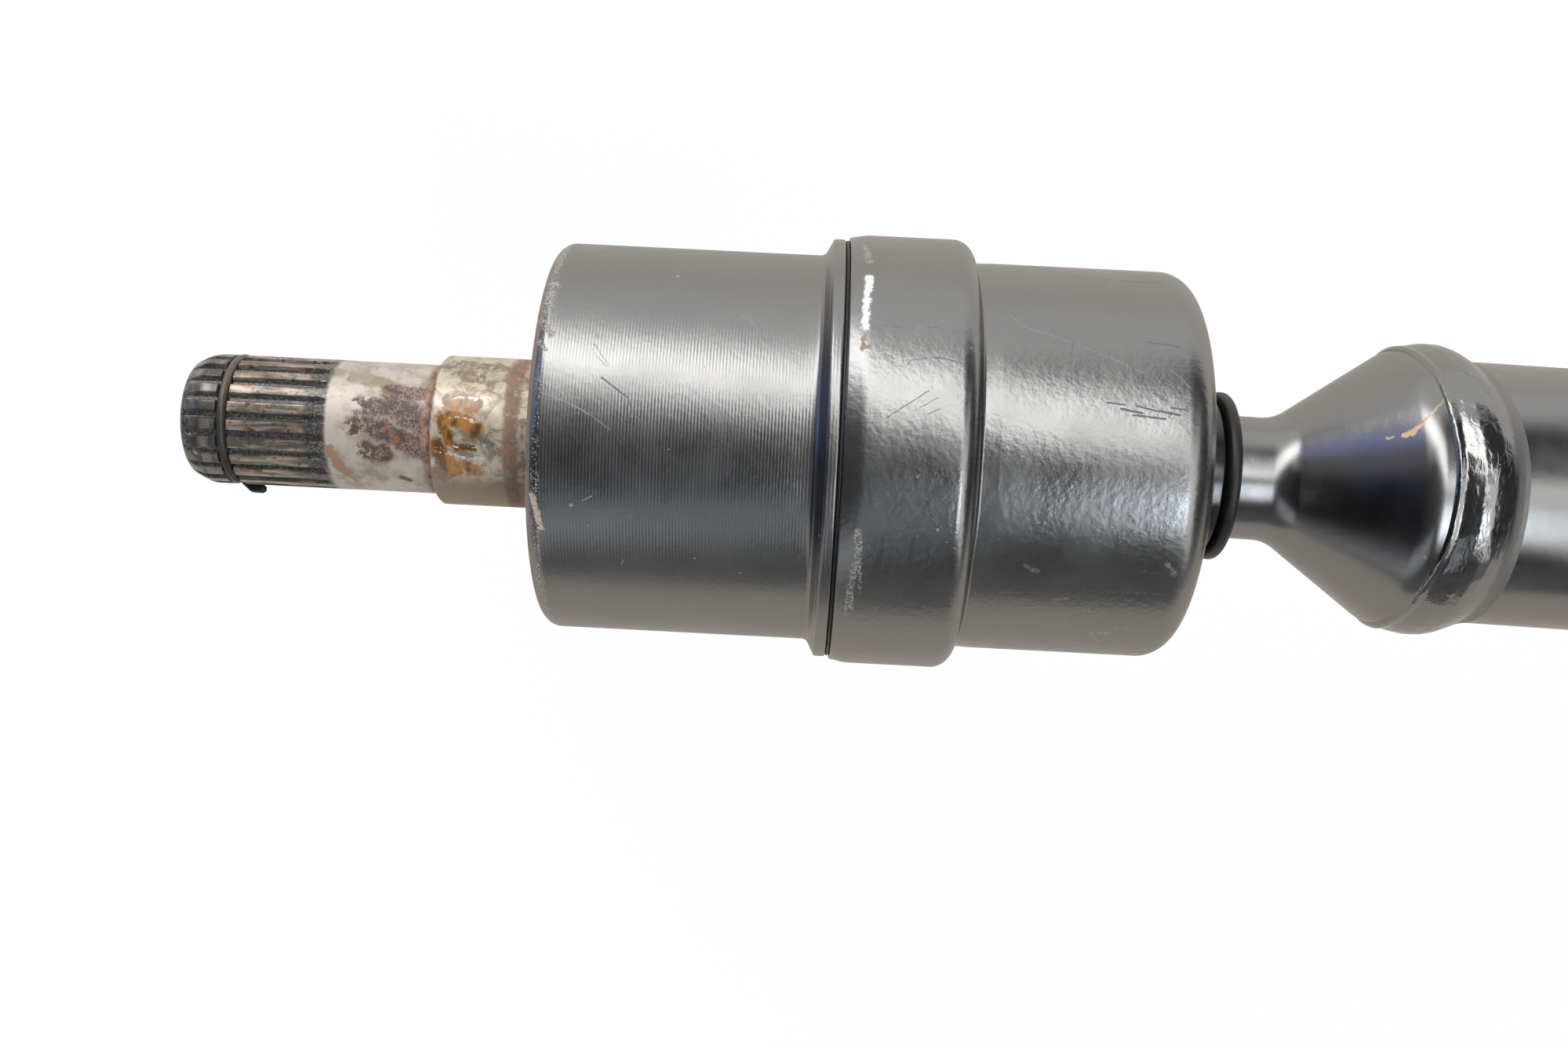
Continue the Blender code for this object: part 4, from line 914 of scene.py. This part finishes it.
def tracked(along, radius, around):
    # Each track is a round bar's path: where it cuts deeper than the bore, the wall is the
    # bar's far side, seen from the axis. Its blind end is a ball.
    pitch = joint["pitchRadius"]
    step = 2 * math.pi / cup["balls"]
    offset = around - math.pi / 2
    aside = offset - np.round(offset / step) * step
    before = np.clip(cup["trackStart"] - along, 0, cup["trackRadius"])
    room = np.maximum(cup["trackRadius"] ** 2 - before ** 2 - (pitch * np.sin(aside)) ** 2, 0)
    reach = np.where(room > 0, pitch * np.cos(aside) + np.sqrt(room), 0)
    inBore = (radius < cup["spigot"] - 3) & (along > cup["trackStart"] - cup["trackRadius"])
    return along, np.where(inBore, np.maximum(radius, reach), radius)


def makeCup():
    stopHalf = cup["stopWire"] / 2 + 0.3
    stopFloor = cup["bore"] + cup["stopWire"] - cup["stopLip"] + 0.3
    edge, bore, spigot, mouth = cup["mouthEdge"], cup["bore"], cup["spigot"], cup["mouth"]
    corners = [
        (cup["start"], 0, 0), (cup["start"], cup["radius"], cup["corner"]),
        (cup["flangeRamp"], cup["radius"], 1.4), (cup["flangeStart"], cup["flangeRadius"], 0.5),
        (cup["flangeEnd"], cup["flangeRadius"], 0.35), (cup["flangeEnd"], spigot, 0.1),
        (mouth - edge, spigot, 0.3), (mouth, spigot - edge, 0.3), (mouth, bore + edge, 0.3),
        (mouth - edge, bore, 0.3),
        (cup["stopPlace"] + stopHalf, bore, 0.2), (cup["stopPlace"] + stopHalf, stopFloor, 0.2),
        (cup["stopPlace"] - stopHalf, stopFloor, 0.2), (cup["stopPlace"] - stopHalf, bore, 0.2),
        (cup["floor"], bore, 4.5), (cup["floor"], 0, 0),
    ]
    turned("forgedCup", finer(outline(corners, 9), 2.0), cup["columns"], tracked, material=materials["cup"],
           body="cup", slot="cup_paint", replaced=["outer_race"])


def makeSeal():
    corners = [(125.3, 39.9, 0), (125.3, 40.4, 0.2), (125.9, 40.4, 0.2), (125.9, 39.9, 0)]
    turned("canSeal", outline(corners, 20), 240, material=materials["rubber"], body="cup",
           slot="seal_rubber", replaced=["can_seal"])


# Can

can = {
    "start": 126.0, "wall": 1.5, "bore": 40.1, "radius": 41.6, "lead": 0.6, "leadEnd": 3.2,
    "shoulder": 149.5, "shoulderCorner": 3.9, "smallRadius": 37.4, "end": 191.2, "endCorner": 6.0,
    "mouth": 31.0,
    "columns": 360,
}


def makeCan():
    wall, start, radius, small = can["wall"], can["start"], can["radius"], can["smallRadius"]
    inner = small - wall
    shoulder, end, mouth = can["shoulder"], can["end"], can["mouth"]
    corners = [
        (start, can["bore"], 0.2), (start, radius - can["lead"], 0.3), (start + can["leadEnd"], radius, 7.0),
        (shoulder, radius, can["shoulderCorner"]), (shoulder, small - 0.15, 0.7),
        (shoulder + 3.5, small, 6.0),
        (end, small, can["endCorner"]), (end, mouth, 0.4), (end - wall, mouth, 0.4),
        (end - wall, inner, can["endCorner"] - wall), (shoulder - wall, inner, 0.7),
        (shoulder - wall, can["bore"], can["shoulderCorner"] - wall),
    ]
    profile = finer(outline(corners, 6), 2.5, closed=True)
    turned("pressedCan", profile, can["columns"], material=materials["can"],
           second=(materials["canEnd"], shoulder + 1.0),
           body="cup", slot="can_paint", replaced=["boot_can"])


# Boot

boot = {
    "wall": 2.1, "outer": 35.6, "beadEnd": 189.4, "beadLength": 10.5, "beadHeight": 4.8, "roll": 165.2,
    "bore": 12.3,
    "sleeveStart": 156.0, "clampStart": 190.1, "clampEnd": 197.7, "clampRadius": 15.2,
    "lipStart": 198.0, "lipEnd": 200.9, "lipRadius": 16.4, "lipRound": 1.3,
}


def makeBootRoll():
    # Down the wall, round the roll as a half circle, and back along its inner side.
    wall, outer, roll, beadEnd = boot["wall"], boot["outer"], boot["roll"], boot["beadEnd"]
    middle = (outer + boot["bore"]) / 2
    reach = (outer - boot["bore"]) / 2
    half = np.linspace(math.pi / 2, 3 * math.pi / 2, 40)
    circle = np.stack([np.cos(half), np.sin(half)], 1)
    outerArc = np.array([roll, middle]) + reach * circle
    innerArc = np.array([roll, middle]) + (reach - wall) * circle[::-1]
    beadInner = outer - boot["beadHeight"]
    beadStart = beadEnd - boot["beadLength"]
    bead = outline([
        (beadStart - wall, outer - wall, 1.0), (beadStart, beadInner, 1.0), (beadEnd, beadInner, 0.8),
        (beadEnd, outer, 4.2),
    ], 12)
    profile = finer(np.concatenate([outerArc, innerArc, bead]), 2.0, closed=True)
    piece = turned("bootRoll", profile, 200, material=materials["rubber"], body=None, slot="boot_rubber",
                   replaced=["boot"])
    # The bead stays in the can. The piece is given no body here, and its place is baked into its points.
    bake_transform(piece)


def makeBootSleeve():
    bore, start, lipStart, lipEnd = boot["bore"], boot["sleeveStart"], boot["lipStart"], boot["lipEnd"]
    outer = bore + boot["wall"]
    corners = [
        (start, bore, 0), (start, outer, 0.5), (lipStart, outer, 0.3),
        (lipStart, boot["lipRadius"], boot["lipRound"]),
        (lipEnd, boot["lipRadius"], boot["lipRound"]), (lipEnd, bore, 0),
    ]
    turned("bootSleeve", finer(outline(corners, 12), 3.0, closed=True), 200, material=materials["rubber"],
           body="shaft",
           slot="boot_rubber", replaced=["boot"], bend=joint["restBend"])


def makeClamp():
    inner = boot["bore"] + boot["wall"] + 0.1
    corners = [
        (boot["clampStart"], inner, 0), (boot["clampStart"], boot["clampRadius"], 0.3),
        (boot["clampEnd"], boot["clampRadius"], 0.3), (boot["clampEnd"], inner, 0),
    ]
    turned("sleeveClamp", outline(corners, 15), 240, material=materials["clamp"], body="shaft",
           slot="clamp_band",
           replaced=["boot_clamp"], bend=joint["restBend"])


# Necked forging, tube and welds

neck = {
    "innerEnd": 96.5, "splineRadius": 11.8, "splineDepth": 1.0, "splines": 18, "splineEnd": 127.5,
    "radius": 12.0,
    "rings": ((98.8, 101.0), (123.0, 125.2)), "ringFloor": 10.1,
    "coneRoot": 210.6, "coneTop": 231.8, "coneRadius": 27.0, "coneFillet": 7.0, "coneEnd": 236.6,
    "spigot": 23.3, "spigotEnd": 252.6,
    "columns": 360,
}
tube = {"start": 240.2, "end": 672.2, "radius": 25.4, "bore": 23.6}


def neckSplined(along, radius, around):
    # Slots with straight flanks, as on the stub.
    phase = around * neck["splines"] / (2 * math.pi)
    fromSlot = np.abs(phase - np.round(phase))
    floor = neck["splineRadius"] - neck["splineDepth"]
    cut = floor + np.maximum(0, fromSlot - 0.14) * neck["splineDepth"] / 0.11
    inSplines = (along < neck["splineEnd"]) & (radius > floor)
    return along, np.where(inSplines, np.minimum(radius, cut), radius)


def makeNeck():
    splineRadius, start, splineEnd = neck["splineRadius"], neck["innerEnd"], neck["splineEnd"]
    rings = []
    for low, high in neck["rings"]:
        rings += [(low, splineRadius, 0), (low, neck["ringFloor"], 0), (high, neck["ringFloor"], 0),
                  (high, splineRadius, 0)]
    coneEnd, coneRadius = neck["coneEnd"], neck["coneRadius"]
    corners = [
        (start, 0, 0), (start, splineRadius - 1, 0), (start + 1, splineRadius, 0), *rings,
        (splineEnd, splineRadius, 0), (splineEnd + 1, neck["radius"], 0),
        (neck["coneRoot"], neck["radius"], 9.0),
        (neck["coneTop"], coneRadius, neck["coneFillet"]), (coneEnd + 2.0, coneRadius + 0.1, 0.6),
        (coneEnd + 2.0, neck["spigot"], 0),
        (neck["spigotEnd"], neck["spigot"], 0.5), (neck["spigotEnd"], 0, 0),
    ]
    turned("neckForging", finer(outline(corners, 3), 2.0), neck["columns"], neckSplined,
           material=materials["shaft"],
           body="shaft", slot="shaft_paint", replaced=["shaft_neck"], bend=joint["restBend"])


def makeTube():
    corners = [
        (tube["start"], tube["bore"], 0), (tube["start"], tube["radius"], 0.3),
        (tube["end"], tube["radius"], 0.3), (tube["end"], tube["bore"], 0),
    ]
    turned("longTube", finer(outline(corners, 15), 6.0, closed=True), 256, material=materials["shaft"],
           body="shaft",
           slot="shaft_paint", replaced=["tube"], bend=joint["restBend"])


weld = {
    "riseStart": 25.6, "riseOver": 2.0,
    # Distance from the cone's end, and radius, along the bead from the cone to the tube.
    "crown": [
        (-0.4, 26.3), (-0.4, 27.0), (0.4, 27.6), (1.6, 27.45), (3.0, 27.85), (5.0, 28.25), (7.2, 28.25),
        (9.0, 27.8),
        (10.8, 27.0), (12.4, 26.2), (13.8, 25.7), (15.2, 25.45),
    ],
    "root": [(14.0, 24.9), (1.0, 24.9)],
    "reach": (-1.4, -5.0), "foot": (12.9, 9.4), "blur": 1.4,
    "wander": 0.16, "lumps": 0.016, "lumpCount": 26, "columns": 480,
}


def rounded(points, step, width):
    # The same line in even steps, each point the mean of those within half of `width`.
    far = np.concatenate([[0], np.cumsum(np.linalg.norm(np.diff(points, axis=0), axis=1))])
    places = np.arange(0, far[-1], step)
    even = np.stack([np.interp(places, far, points[:, k]) for k in (0, 1)], 1)
    count = int(width / step) // 2 * 2 + 1
    weights = np.hanning(count + 2)[1:-1]
    weights /= weights.sum()
    padded = np.pad(even, ((count // 2, count // 2), (0, 0)), mode="edge")
    return np.stack([np.convolve(padded[:, k], weights, "valid") for k in (0, 1)], 1)


def beadShape(edge, side, seed):
    # Slow waves make the bead wander, and the sum of small waves in all directions makes it
    # lumpy. It runs further up the cone at its sides than in front, and less far on the tube
    # at its upper side.
    rng = np.random.default_rng(seed)
    slow = rng.uniform(0, 2 * math.pi, 3)
    turns = rng.integers(6, 48, weld["lumpCount"])[:, None, None]
    runs = rng.uniform(-1.3, 1.3, weld["lumpCount"])[:, None, None]
    phases = rng.uniform(0, 2 * math.pi, weld["lumpCount"])[:, None, None]
    start, end = weld["crown"][0][0], weld["crown"][-1][0]

    def shape(along, radius, around):
        crown = np.clip((radius - weld["riseStart"]) / weld["riseOver"], 0, 1)
        wander = np.sin(2 * around + slow[0]) + 0.7 * np.sin(5 * around + slow[1])
        wander = wander + 0.5 * np.sin(11 * around + slow[2])
        lumps = np.sin(turns * around + runs * along + phases).sum(0) / math.sqrt(weld["lumpCount"] / 2)
        lift = crown * (0.35 * weld["wander"] * wander + weld["lumps"] * lumps)
        sideways = np.sin(around)
        reach = weld["reach"][0] + (weld["reach"][1] - weld["reach"][0]) * sideways ** 2
        foot = weld["foot"][0] + (weld["foot"][1] - weld["foot"][0]) * np.clip(sideways, 0, 1) ** 2
        share = (side * (along - edge) - start) / (end - start)
        placed = edge + side * (reach + share * (foot - reach))
        return placed + crown * weld["wander"] * wander, radius + lift
    return shape


def makeWeld(name, edge, side, node, seed):
    crown = rounded(np.array(weld["crown"]), 0.12, weld["blur"])
    profile = np.concatenate([crown, weld["root"]]) * (side, 1) + (edge, 0)
    turned(name, finer(profile, 0.6, closed=True), weld["columns"], beadShape(edge, side, seed),
           material=materials["weld"],
           body="shaft", slot="painted_weld", replaced=[node], bend=joint["restBend"])


far = {"coneEnd": 675.8, "coneTop": 681.6, "coneRoot": 701.797, "end": 737.795, "radius": 12.0,
       "chamfer": 1.5}


def makeFarStub():
    coneEnd, radius, chamfer, end = far["coneEnd"], far["radius"], far["chamfer"], far["end"]
    corners = [
        (coneEnd - 16.0, 0, 0), (coneEnd - 16.0, neck["spigot"], 0.5), (coneEnd - 2.0, neck["spigot"], 0),
        (coneEnd - 2.0, neck["coneRadius"] + 0.1, 0.6),
        (far["coneTop"], neck["coneRadius"], neck["coneFillet"]),
        (far["coneRoot"], radius, 9.0), (end - chamfer, radius, 0.2), (end, radius - chamfer, 0.2),
        (end, 0, 0),
    ]
    turned("farStub", finer(outline(corners, 4), 2.0), 256, material=materials["shaft"], body="shaft",
           slot="shaft_paint", replaced=["far_end_stub"], bend=joint["restBend"])


makeStub()
makeStubRing()
makeCup()
makeSeal()
makeCan()
print("cup side made")

makeBootRoll()
makeBootSleeve()
makeClamp()
makeNeck()
makeTube()
makeWeld("nearWeld", neck["coneEnd"], 1, "weld_bead_near", 4)
makeWeld("farWeld", far["coneEnd"], -1, "weld_bead_far", 9)
makeFarStub()
print("shaft side made")

innerPieces = {
    "ground": ["ball_cage", "inner_race"] + [f"ball_{number}" for number in range(1, cup["balls"] + 1)],
    "spring": ["race_circlip_inner", "race_circlip_outer", "ball_stop_ring"],
}
for finish, nodes in innerPieces.items():
    for node in nodes:
        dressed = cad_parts[node].data.materials
        dressed.clear()
        dressed.append(materials[finish])
print("inner pieces dressed")


# Stage, light and camera

stage = {
    "floor": -0.16, "size": 6.0, "white": (0.92, 0.90, 0.87), "seen": (1.03, 1.03, 1.03),
    "reflected": (0.76, 0.69, 0.60), "reflectedBehind": (1.05, 0.98, 0.90), "shadow": 0.12,
}


def makeFloor():
    # The camera sees a white floor with a light shadow, and gloss reflects it a little warmer.
    half, level = stage["size"] / 2, stage["floor"]
    mesh = bpy.data.meshes.new("floor")
    corners = [(-half, -half, level), (half, -half, level), (half, half, level), (-half, half, level)]
    mesh.from_pydata(corners, [], [(0, 1, 2, 3)])
    material, tree, shader = newMaterial("paleFloor")
    shader.inputs["Base Color"].default_value = (*stage["white"], 1)
    shader.inputs["Roughness"].default_value = 0.9
    shader.inputs["Specular IOR Level"].default_value = 0.1
    rays = addNode(tree, "ShaderNodeLightPath").outputs
    position = addNode(tree, "ShaderNodeNewGeometry").outputs["Position"]
    behind = ramp(tree, addNode(tree, "ShaderNodeSeparateXYZ", {0: position}).outputs[1], 0.0, 0.3)
    reflected = blendColour(tree, behind, stage["reflected"], stage["reflectedBehind"])
    tint = blendColour(tree, rays["Is Camera Ray"], reflected, stage["seen"])
    glow = addNode(tree, "ShaderNodeEmission", {"Color": tint, "Strength": 1.0}).outputs[0]
    seen = sums(tree, "MAXIMUM", rays["Is Camera Ray"], rays["Is Glossy Ray"])
    share = sums(tree, "MULTIPLY", seen, 1 - stage["shadow"])
    blend = addNode(tree, "ShaderNodeMixShader", {0: share, 1: shader.outputs[0], 2: glow})
    tree.links.new(blend.outputs[0], tree.nodes["Material Output"].inputs["Surface"])
    mesh.materials.append(material)
    floor = bpy.data.objects.new("floor", mesh)
    bpy.context.scene.collection.objects.link(floor)


# The studio is painted on the world. Its angles are measured round the X axis, 0 straight up
# and growing towards +Y. Its lean is how far a direction points along X, from -1 to 1.
studio = {
    "main": {
        "strength": 4.7, "low": 17.0, "lowPerLean": -64.0, "high": 48.0, "highPerLean": -50.0,
        "drop": -20.0, "dropFrom": 0.20, "dropTo": 0.34, "soft": 7.0,
        "leanLow": -0.55, "leanHigh": 0.39, "leanSoft": 0.025, "dimmed": 0.75, "dimFrom": 0.5, "dimTo": 1.05,
    },
    "end": {
        "strength": 2.1, "low": 0.0, "lowPerLean": -105.0, "high": 10.0, "rise": 36.0, "riseFrom": 0.48,
        "riseTo": 0.80, "soft": 9.0, "leanLow": 0.435, "leanHigh": 0.72, "leanSoft": 0.02,
        "far": 0.8, "farFrom": 0.50, "farTo": 0.60,
    },
    "strip": {
        "middle": -45.0, "middlePerLean": 51.0, "half": 14.0, "soft": 6.0, "leanLow": -0.6, "leanHigh": 0.375,
        "leanSoft": 0.02, "dim": 0.7, "dimFrom": -0.02, "dimTo": 0.06,
        "bright": 15.5, "brightFrom": 0.29, "brightTo": 0.32,
    },
    "wall": {
        "start": 32.0, "startPerLean": 40.0, "strength": 1.15, "soft": 25, "base": 0.045,
        "onLeft": 0.22, "leftFrom": -0.50, "leftTo": -0.60, "farWall": 0.17, "farFrom": -55, "farTo": -80,
    },
    "blue": {
        "strength": 1.3, "colour": (0.10, 0.19, 0.60), "leanFrom": -0.57, "leanTo": -0.63, "soft": 6.0,
        "high": 68.0, "lowFrom": -0.80, "lowTo": -0.86, "lowStart": 44.0, "lowEnd": -10.0,
    },
}


def makeWorld():
    world = bpy.data.worlds.new("studio")
    world.use_nodes = True
    tree = world.node_tree
    main, end, strip, wall, blue = (studio[part] for part in ("main", "end", "strip", "wall", "blue"))
    towards = addNode(tree, "ShaderNodeTexCoord").outputs["Generated"]
    parts = addNode(tree, "ShaderNodeSeparateXYZ", {0: towards}).outputs
    lean = parts[0]
    angle = sums(tree, "MULTIPLY", sums(tree, "ARCTAN2", parts[1], parts[2]), 180 / math.pi)
    # The main softbox is slanted, and dimmer towards its far edge.
    low = sums(tree, "MULTIPLY_ADD", lean, main["lowPerLean"], main["low"])
    high = sums(tree, "MULTIPLY_ADD", lean, main["highPerLean"],
                ramp(tree, lean, main["dropFrom"], main["dropTo"], main["high"], main["high"] + main["drop"]))
    share = sums(tree, "DIVIDE", sums(tree, "SUBTRACT", angle, low), sums(tree, "SUBTRACT", high, low))
    total = times(tree, between(tree, angle, low, high, main["soft"]),
                  ramp(tree, share, main["dimFrom"], main["dimTo"], 1.0, main["dimmed"]),
                  between(tree, lean, main["leanLow"], main["leanHigh"], main["leanSoft"]), main["strength"])
    endLow = sums(tree, "MULTIPLY_ADD", lean, end["lowPerLean"], end["low"])
    endHigh = ramp(tree, lean, end["riseFrom"], end["riseTo"], end["high"], end["high"] + end["rise"])
    window = times(tree, between(tree, angle, endLow, endHigh, end["soft"]),
                   between(tree, lean, end["leanLow"], end["leanHigh"], end["leanSoft"]),
                   ramp(tree, lean, end["farFrom"], end["farTo"], 1.0, end["far"]), end["strength"])
    fromWall = sums(tree, "SUBTRACT", angle, sums(tree, "MULTIPLY_ADD", lean, wall["startPerLean"],
                                                  wall["start"]))
    total = sums(tree, "ADD", total, window)
    onLeft = ramp(tree, lean, wall["leftFrom"], wall["leftTo"], 1.0, wall["onLeft"])
    total = sums(tree, "ADD", total,
                 times(tree, ramp(tree, fromWall, 0, wall["soft"], wall["base"], wall["strength"]), onLeft))
    total = sums(tree, "ADD", total, ramp(tree, angle, wall["farFrom"], wall["farTo"], 0, wall["farWall"]))
    fromStrip = sums(tree, "SUBTRACT", angle, sums(tree, "MULTIPLY_ADD", lean, strip["middlePerLean"],
                                                   strip["middle"]))
    level = sums(tree, "ADD", ramp(tree, lean, strip["dimFrom"], strip["dimTo"], strip["dim"], 0.0),
                 ramp(tree, lean, strip["brightFrom"], strip["brightTo"], 0.0, strip["bright"]))
    cool = times(tree, between(tree, fromStrip, -strip["half"], strip["half"], strip["soft"]),
                 between(tree, lean, strip["leanLow"], strip["leanHigh"], strip["leanSoft"]), level)
    blueLow = ramp(tree, lean, blue["lowFrom"], blue["lowTo"], blue["lowStart"], blue["lowEnd"])
    navy = times(tree, ramp(tree, lean, blue["leanFrom"], blue["leanTo"]),
                 between(tree, angle, blueLow, blue["high"], blue["soft"]), blue["strength"])
    white = vectors(tree, "SCALE", (1.0, 0.99, 0.97), Scale=total)
    bluish = vectors(tree, "SCALE", (0.86, 0.93, 1.0), Scale=cool)
    colour = vectors(tree, "ADD", vectors(tree, "ADD", white, bluish),
                     vectors(tree, "SCALE", blue["colour"], Scale=navy))
    rays = addNode(tree, "ShaderNodeLightPath").outputs
    lit = blendColour(tree, rays["Is Camera Ray"], colour, (1, 1, 1))
    tree.links.new(lit, tree.nodes["Background"].inputs["Color"])
    bpy.context.scene.world = world


# The camera was found from the photograph: it looks almost straight down on the shaft.
view = {
    "imageWidth": 1999, "focalPixels": 1892, "sensor": 36.0, "scale": 0.1545,
    "aimX": 0.0, "aimY": -97.07, "aimStation": 115.26, "slope": 0.051, "depthSlope": -0.0125,
}


def makeCamera():
    # Work in camera axes first: x right, y down, z away from the camera.
    slope, depthSlope = view["slope"], view["depthSlope"]
    ahead = Vector((0, 0, 1))
    axis = Vector((math.cos(slope) * math.cos(depthSlope), math.sin(slope) * math.cos(depthSlope),
                   math.sin(depthSlope)))
    up = (axis * ahead.dot(axis) - ahead).normalized()
    across = up.cross(axis)
    aim = Vector((view["aimX"], view["aimY"], view["focalPixels"])) * view["scale"]
    origin = aim - axis * view["aimStation"]
    toFrame = Matrix((axis, across, up))
    place = toFrame @ -origin * mm
    sides = [toFrame @ Vector(side) for side in ((1, 0, 0), (0, -1, 0), (0, 0, -1))]
    camera = bpy.data.cameras.new("camera")
    camera.sensor_width = view["sensor"]
    camera.sensor_fit = "HORIZONTAL"
    camera.lens = view["focalPixels"] / view["imageWidth"] * view["sensor"]
    camera.clip_start = 0.01
    holder = bpy.data.objects.new("camera", camera)
    holder.matrix_world = Matrix.Translation(place) @ Matrix(sides).transposed().to_4x4()
    bpy.context.scene.collection.objects.link(holder)
    bpy.context.scene.camera = holder


makeFloor()
makeWorld()
makeCamera()
bpy.context.scene.view_settings.view_transform = "Standard"
print("stage, light and camera set")
